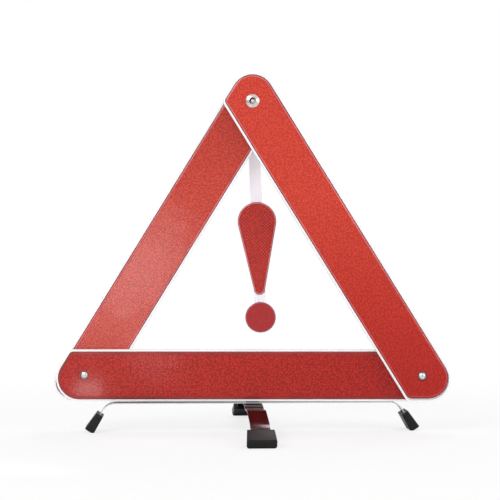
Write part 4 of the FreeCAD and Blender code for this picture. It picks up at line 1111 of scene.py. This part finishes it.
# %% Assign the materials
finishes = [
    (pale_plastic, ["mark_carrier"]),
    (nylon, ["mark_collar", "lower_left_spacer", "lower_right_spacer"]),
    (black_nylon, ["leg_upper_washer", "leg_lower_washer"]),
    (nickel, ["lower_left_rivet", "lower_left_burr", "lower_right_rivet", "lower_right_burr"]),
    (nickel, ["snap_socket", "snap_stud", "snap_eyelet", "leg_pivot_rivet", "leg_mount_plate"]),
    (cap_nickel, ["snap_cap"]),
    (side_steel, ["side_leg_strip"]),
    (cross_steel, ["cross_leg_strip"]),
]
for material, nodes in finishes:
    for node in nodes:
        mesh = frame["nodes"][node].data
        mesh.materials.clear()
        mesh.materials.append(material)
print("finished nodes:", sum(len(nodes) for material, nodes in finishes))

# %% Brighten the cut edges of the legs
# The lighter steel of the cut edges is partly a painted highlight.
SIDEWAYS = 0.9
for node, across in (("side_leg_strip", 1), ("cross_leg_strip", 0)):
    mesh = frame["nodes"][node].data
    mesh.materials.append(cut_edge_steel_and_highlight)
    cut = [1 if abs(face.normal[across]) > SIDEWAYS else 0 for face in mesh.polygons]
    mesh.polygons.foreach_set("material_index", cut)
    print(node, "cut faces:", sum(cut))

# %% [markdown]
# ## Moulded edges
# No moulded edge is sharp: the mould's corners are slightly round, and a round edge catches a thin
# line of light that tells the eye how thick the wall is. A shader can fake that line, but it is lost
# when the mesh is printed or shown elsewhere. So each moulded piece is copied, its triangles are
# joined into whole faces, and a Bevel rounds its edges by a fraction of a millimetre. The feet are
# softer still. Seen from the end, a foot is a bar with round lower corners and slightly rounded upper
# ones, so it keeps only what it shares with such a bar.

# %% Round the ends of a foot
SOLE_ROUND = 2.8 * MM
TOP_ROUND = 1.0 * MM
Z_AXIS = Vector((0, 0, 1))


def rounded_foot(node, made):
    """Keeps only what lies within a rounded bar along the leg, as wide and high as the foot."""
    mesh = made.data
    ends = [[mesh.vertices[index].co for index in edge.vertices] for edge in mesh.edges]
    longest = max((first - second for first, second in ends), key=lambda side: side.length)
    width = Vector((longest.x, longest.y, 0)).normalized()
    start = Vector((mesh.vertices[0].co.x, mesh.vertices[0].co.y, 0))
    place = flat_frame(start, width, width.cross(Z_AXIS))
    low, high = reach(node, place)
    sides = [((0, -1), -low.y), ((1, 0), high.x), ((0, 1), high.y), ((-1, 0), -low.x)]
    bar = rounded_shape(sides, [SOLE_ROUND, TOP_ROUND, TOP_ROUND, SOLE_ROUND])
    mould = closed_mesh("mould", [ring_at(bar, low.z - MM), ring_at(bar, high.z + MM)])
    mould.transform(place)
    carve(made, piece("mould", mould), "INTERSECT")


print("corner radii of a foot in mm, at the sole and on top:", round(SOLE_ROUND / MM, 1),
      round(TOP_ROUND / MM, 1))

# %% Round the edges of the moulded pieces
HOUSING_EDGE = 0.25 * MM
FOOT_EDGE = 0.5 * MM
SMOOTH_EDGES = math.radians(30)
ROUND_ABOVE = math.radians(35)


def softened(node, body, material, width):
    """A copy of a node with rounded edges, set in the node's place."""
    made = piece(f"{node}_moulded", merged_mesh(node))
    if material is rubber:
        rounded_foot(node, made)
    made.data.materials.clear()
    made.data.materials.append(material)
    made.data.shade_smooth()
    made.data.set_sharp_from_angle(angle=SMOOTH_EDGES)
    edges = made.modifiers.new("round_edges", "BEVEL")
    edges.width, edges.segments = width, 2
    edges.limit_method, edges.angle_limit = "ANGLE", ROUND_ABOVE
    edges.harden_normals = True
    settle(made)
    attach(made, body)
    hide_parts(node)
    print(made.name, "has", len(made.data.polygons), "faces")


softened("bottom_arm_housing", "base", white_plastic, HOUSING_EDGE)
for side in ("right", "left"):
    softened(f"{side}_arm_housing", f"{side}_arm", white_plastic, HOUSING_EDGE)
    softened(f"{side}_foot", "side_leg", rubber, FOOT_EDGE)
for end in ("front", "rear"):
    softened(f"{end}_foot", "cross_leg", rubber, FOOT_EDGE)

# %% [markdown]
# ## The floor
# The triangle stands on white paper in a studio. A white floor under enough light to read as white
# would bleach the housings too, so part of its white is its own, and only for the camera. Close to the
# feet less of it is, so that the soft shadow stays, and further out it melts into the sky.

# %% Lay the floor
FLOOR_RADIUS = 12.0
FLOOR_STEPS = 96
PAPER_GRAIN = 60.0
OWN_WHITE = (0.72, 1.0)
SHADOW_REACH = (0.22, 0.80)


def paper():
    """White paper whose white is partly its own where the camera sees it."""
    material = new_material("floor_paper", linear(246, 246, 246), 0.9)
    tree = material.node_tree
    path = tree.nodes.new("ShaderNodeLightPath")
    glow = tree.nodes.new("ShaderNodeEmission")
    mix = tree.nodes.new("ShaderNodeMixShader")
    away = length_of(tree, own_place(tree))
    white = map_range(tree, away, *SHADOW_REACH, *OWN_WHITE, kind="SMOOTHSTEP")
    share = calculate(tree, "MULTIPLY", path.outputs["Is Camera Ray"], white)
    feed(tree, mix, (share, tree.nodes["Principled BSDF"].outputs[0], glow.outputs[0]))
    tree.links.new(mix.outputs[0], tree.nodes["Material Output"].inputs["Surface"])
    add_bump(material, noise(material, PAPER_GRAIN), 0.05, 0.1 * MM)
    return material


rim = [(FLOOR_RADIUS * math.cos(turn), FLOOR_RADIUS * math.sin(turn), 0.0)
       for turn in round_turns(FLOOR_STEPS)]
floor_mesh = bpy.data.meshes.new("studio_floor")
floor_mesh.from_pydata(rim, [], [list(range(FLOOR_STEPS))])
floor = piece("studio_floor", floor_mesh, [paper()])
print("the floor is", 2 * FLOOR_RADIUS, "m across")

# %% [markdown]
# ## The sky
# The sky is white to the camera. If shiny surfaces saw the same bare white, steel would turn to chalk
# and the red plates would wash out. So they see a room instead: behind the triangle it is white at eye
# level and dark overhead, and in front it is grey at eye level and bright overhead. Matt surfaces get
# an even fill. The Light Path node tells the three kinds of ray apart.

# %% Hang the sky
# A band is the lower and upper height between which it changes, and its grey below and above them.
FRONT_BAND = (0.0, 0.6, 0.38, 0.90)
BACK_BAND = (0.10, 0.55, 0.85, 0.05)
FILL_BAND = (-1.0, 1.0, 0.62, 0.62)
WHITE_BAND = (-1.0, 1.0, 1.0, 1.0)
FRONT_TO_BACK = (-0.2, 0.2)


def sky_band(tree, height, low, high, bottom, top):
    """A background whose light runs from one grey to another between two heights."""
    light = tree.nodes.new("ShaderNodeBackground")
    light.inputs["Color"].default_value = (1, 1, 1, 1)
    tree.links.new(map_range(tree, height, low, high, bottom, top), light.inputs["Strength"])
    return light.outputs[0]


def choose(tree, share, first, second):
    """Mixes two lights by a share."""
    mix = tree.nodes.new("ShaderNodeMixShader")
    feed(tree, mix, (share, first, second))
    return mix.outputs[0]


def studio_sky():
    """White for the camera, soft fill for matt surfaces, and a room to mirror for shiny ones."""
    world = bpy.data.worlds.new("studio_sky")
    world.use_nodes = True
    tree = world.node_tree
    path = tree.nodes.new("ShaderNodeLightPath")
    parts = separated(tree, tree.nodes.new("ShaderNodeTexCoord").outputs["Generated"])
    bands = (FRONT_BAND, BACK_BAND, FILL_BAND, WHITE_BAND)
    front, back, fill, white = [sky_band(tree, parts["Z"], *band) for band in bands]
    room = choose(tree, map_range(tree, parts["Y"], *FRONT_TO_BACK), front, back)
    seen = calculate(tree, "MAXIMUM", path.outputs["Is Camera Ray"], path.outputs["Is Transmission Ray"])
    light = choose(tree, path.outputs["Is Glossy Ray"], fill, room)
    light = choose(tree, seen, light, white)
    tree.links.new(light, tree.nodes["World Output"].inputs["Surface"])
    return world


bpy.context.scene.world = studio_sky()
print("nodes in the sky:", len(bpy.context.scene.world.node_tree.nodes))

# %% [markdown]
# ## The lamps
# Three soft boxes light the triangle: a key from the left, a weaker fill from the right, and one from
# behind that lines the upper edges. One big lamp would be simpler, but it gives every arm the same
# tone. A low card in front draws the pale sheen on the left arm's glossy plate. Two small lamps close
# to the floor draw the spots of glare on the left half of the bottom arm.

# %% Set the lamps
def soft_lamp(name, spot, aim, width, height, power):
    """A rectangular soft box that faces a point."""
    light = bpy.data.lights.new(name, "AREA")
    light.shape = "RECTANGLE"
    light.size, light.size_y, light.energy = width, height, power
    lamp = bpy.data.objects.new(name, light)
    lamp.location = spot
    lamp.rotation_euler = (Vector(aim) - Vector(spot)).to_track_quat("-Z", "Y").to_euler()
    bpy.context.scene.collection.objects.link(lamp)
    print(name, "gives", power, "W")


soft_lamp("key_box", (-1.2, -1.5, 1.6), (0.0, 0, 0.2), 1.2, 0.9, 20.0)
soft_lamp("fill_box", (1.6, -1.2, 0.8), (0.05, 0, 0.2), 1.0, 1.0, 8.5)
soft_lamp("back_box", (0.5, 1.2, 1.7), (0, 0, 0.1), 1.0, 0.6, 8.0)
soft_lamp("low_card", (-0.355, -2.0, 0.11), (-0.13, 0, 0.12), 0.36, 0.22, 0.80)
soft_lamp("left_glint", (-0.2135, -0.32, 0.016), (-0.177, 0, 0.045), 0.03, 0.02, 0.021)
soft_lamp("middle_glint", (-0.151, -0.68, 0.026), (-0.105, 0, 0.075), 0.07, 0.03, 0.020)

# %% [markdown]
# ## The camera
# The camera stands level, a little below the middle of the triangle, and looks straight back. Tilting
# it up to centre the picture would make the arms converge, so the lens is shifted instead, as an
# architect's camera does.

# %% Place the camera
CAMERA_SPOT = (-0.0028, -1.515, 0.1854)
CAMERA_LENS = 100.0
HORIZON_SHIFT = 0.0208
camera = bpy.data.cameras.new("photo_camera")
camera.lens = CAMERA_LENS
camera.shift_y = HORIZON_SHIFT
viewpoint = bpy.data.objects.new("photo_camera", camera)
viewpoint.location = CAMERA_SPOT
viewpoint.rotation_euler = (math.pi / 2, 0, 0)
bpy.context.scene.collection.objects.link(viewpoint)
bpy.context.scene.camera = viewpoint
bpy.context.scene.view_settings.view_transform = "Standard"
print("the camera is", -CAMERA_SPOT[1], "m in front, with a lens of", CAMERA_LENS, "mm")
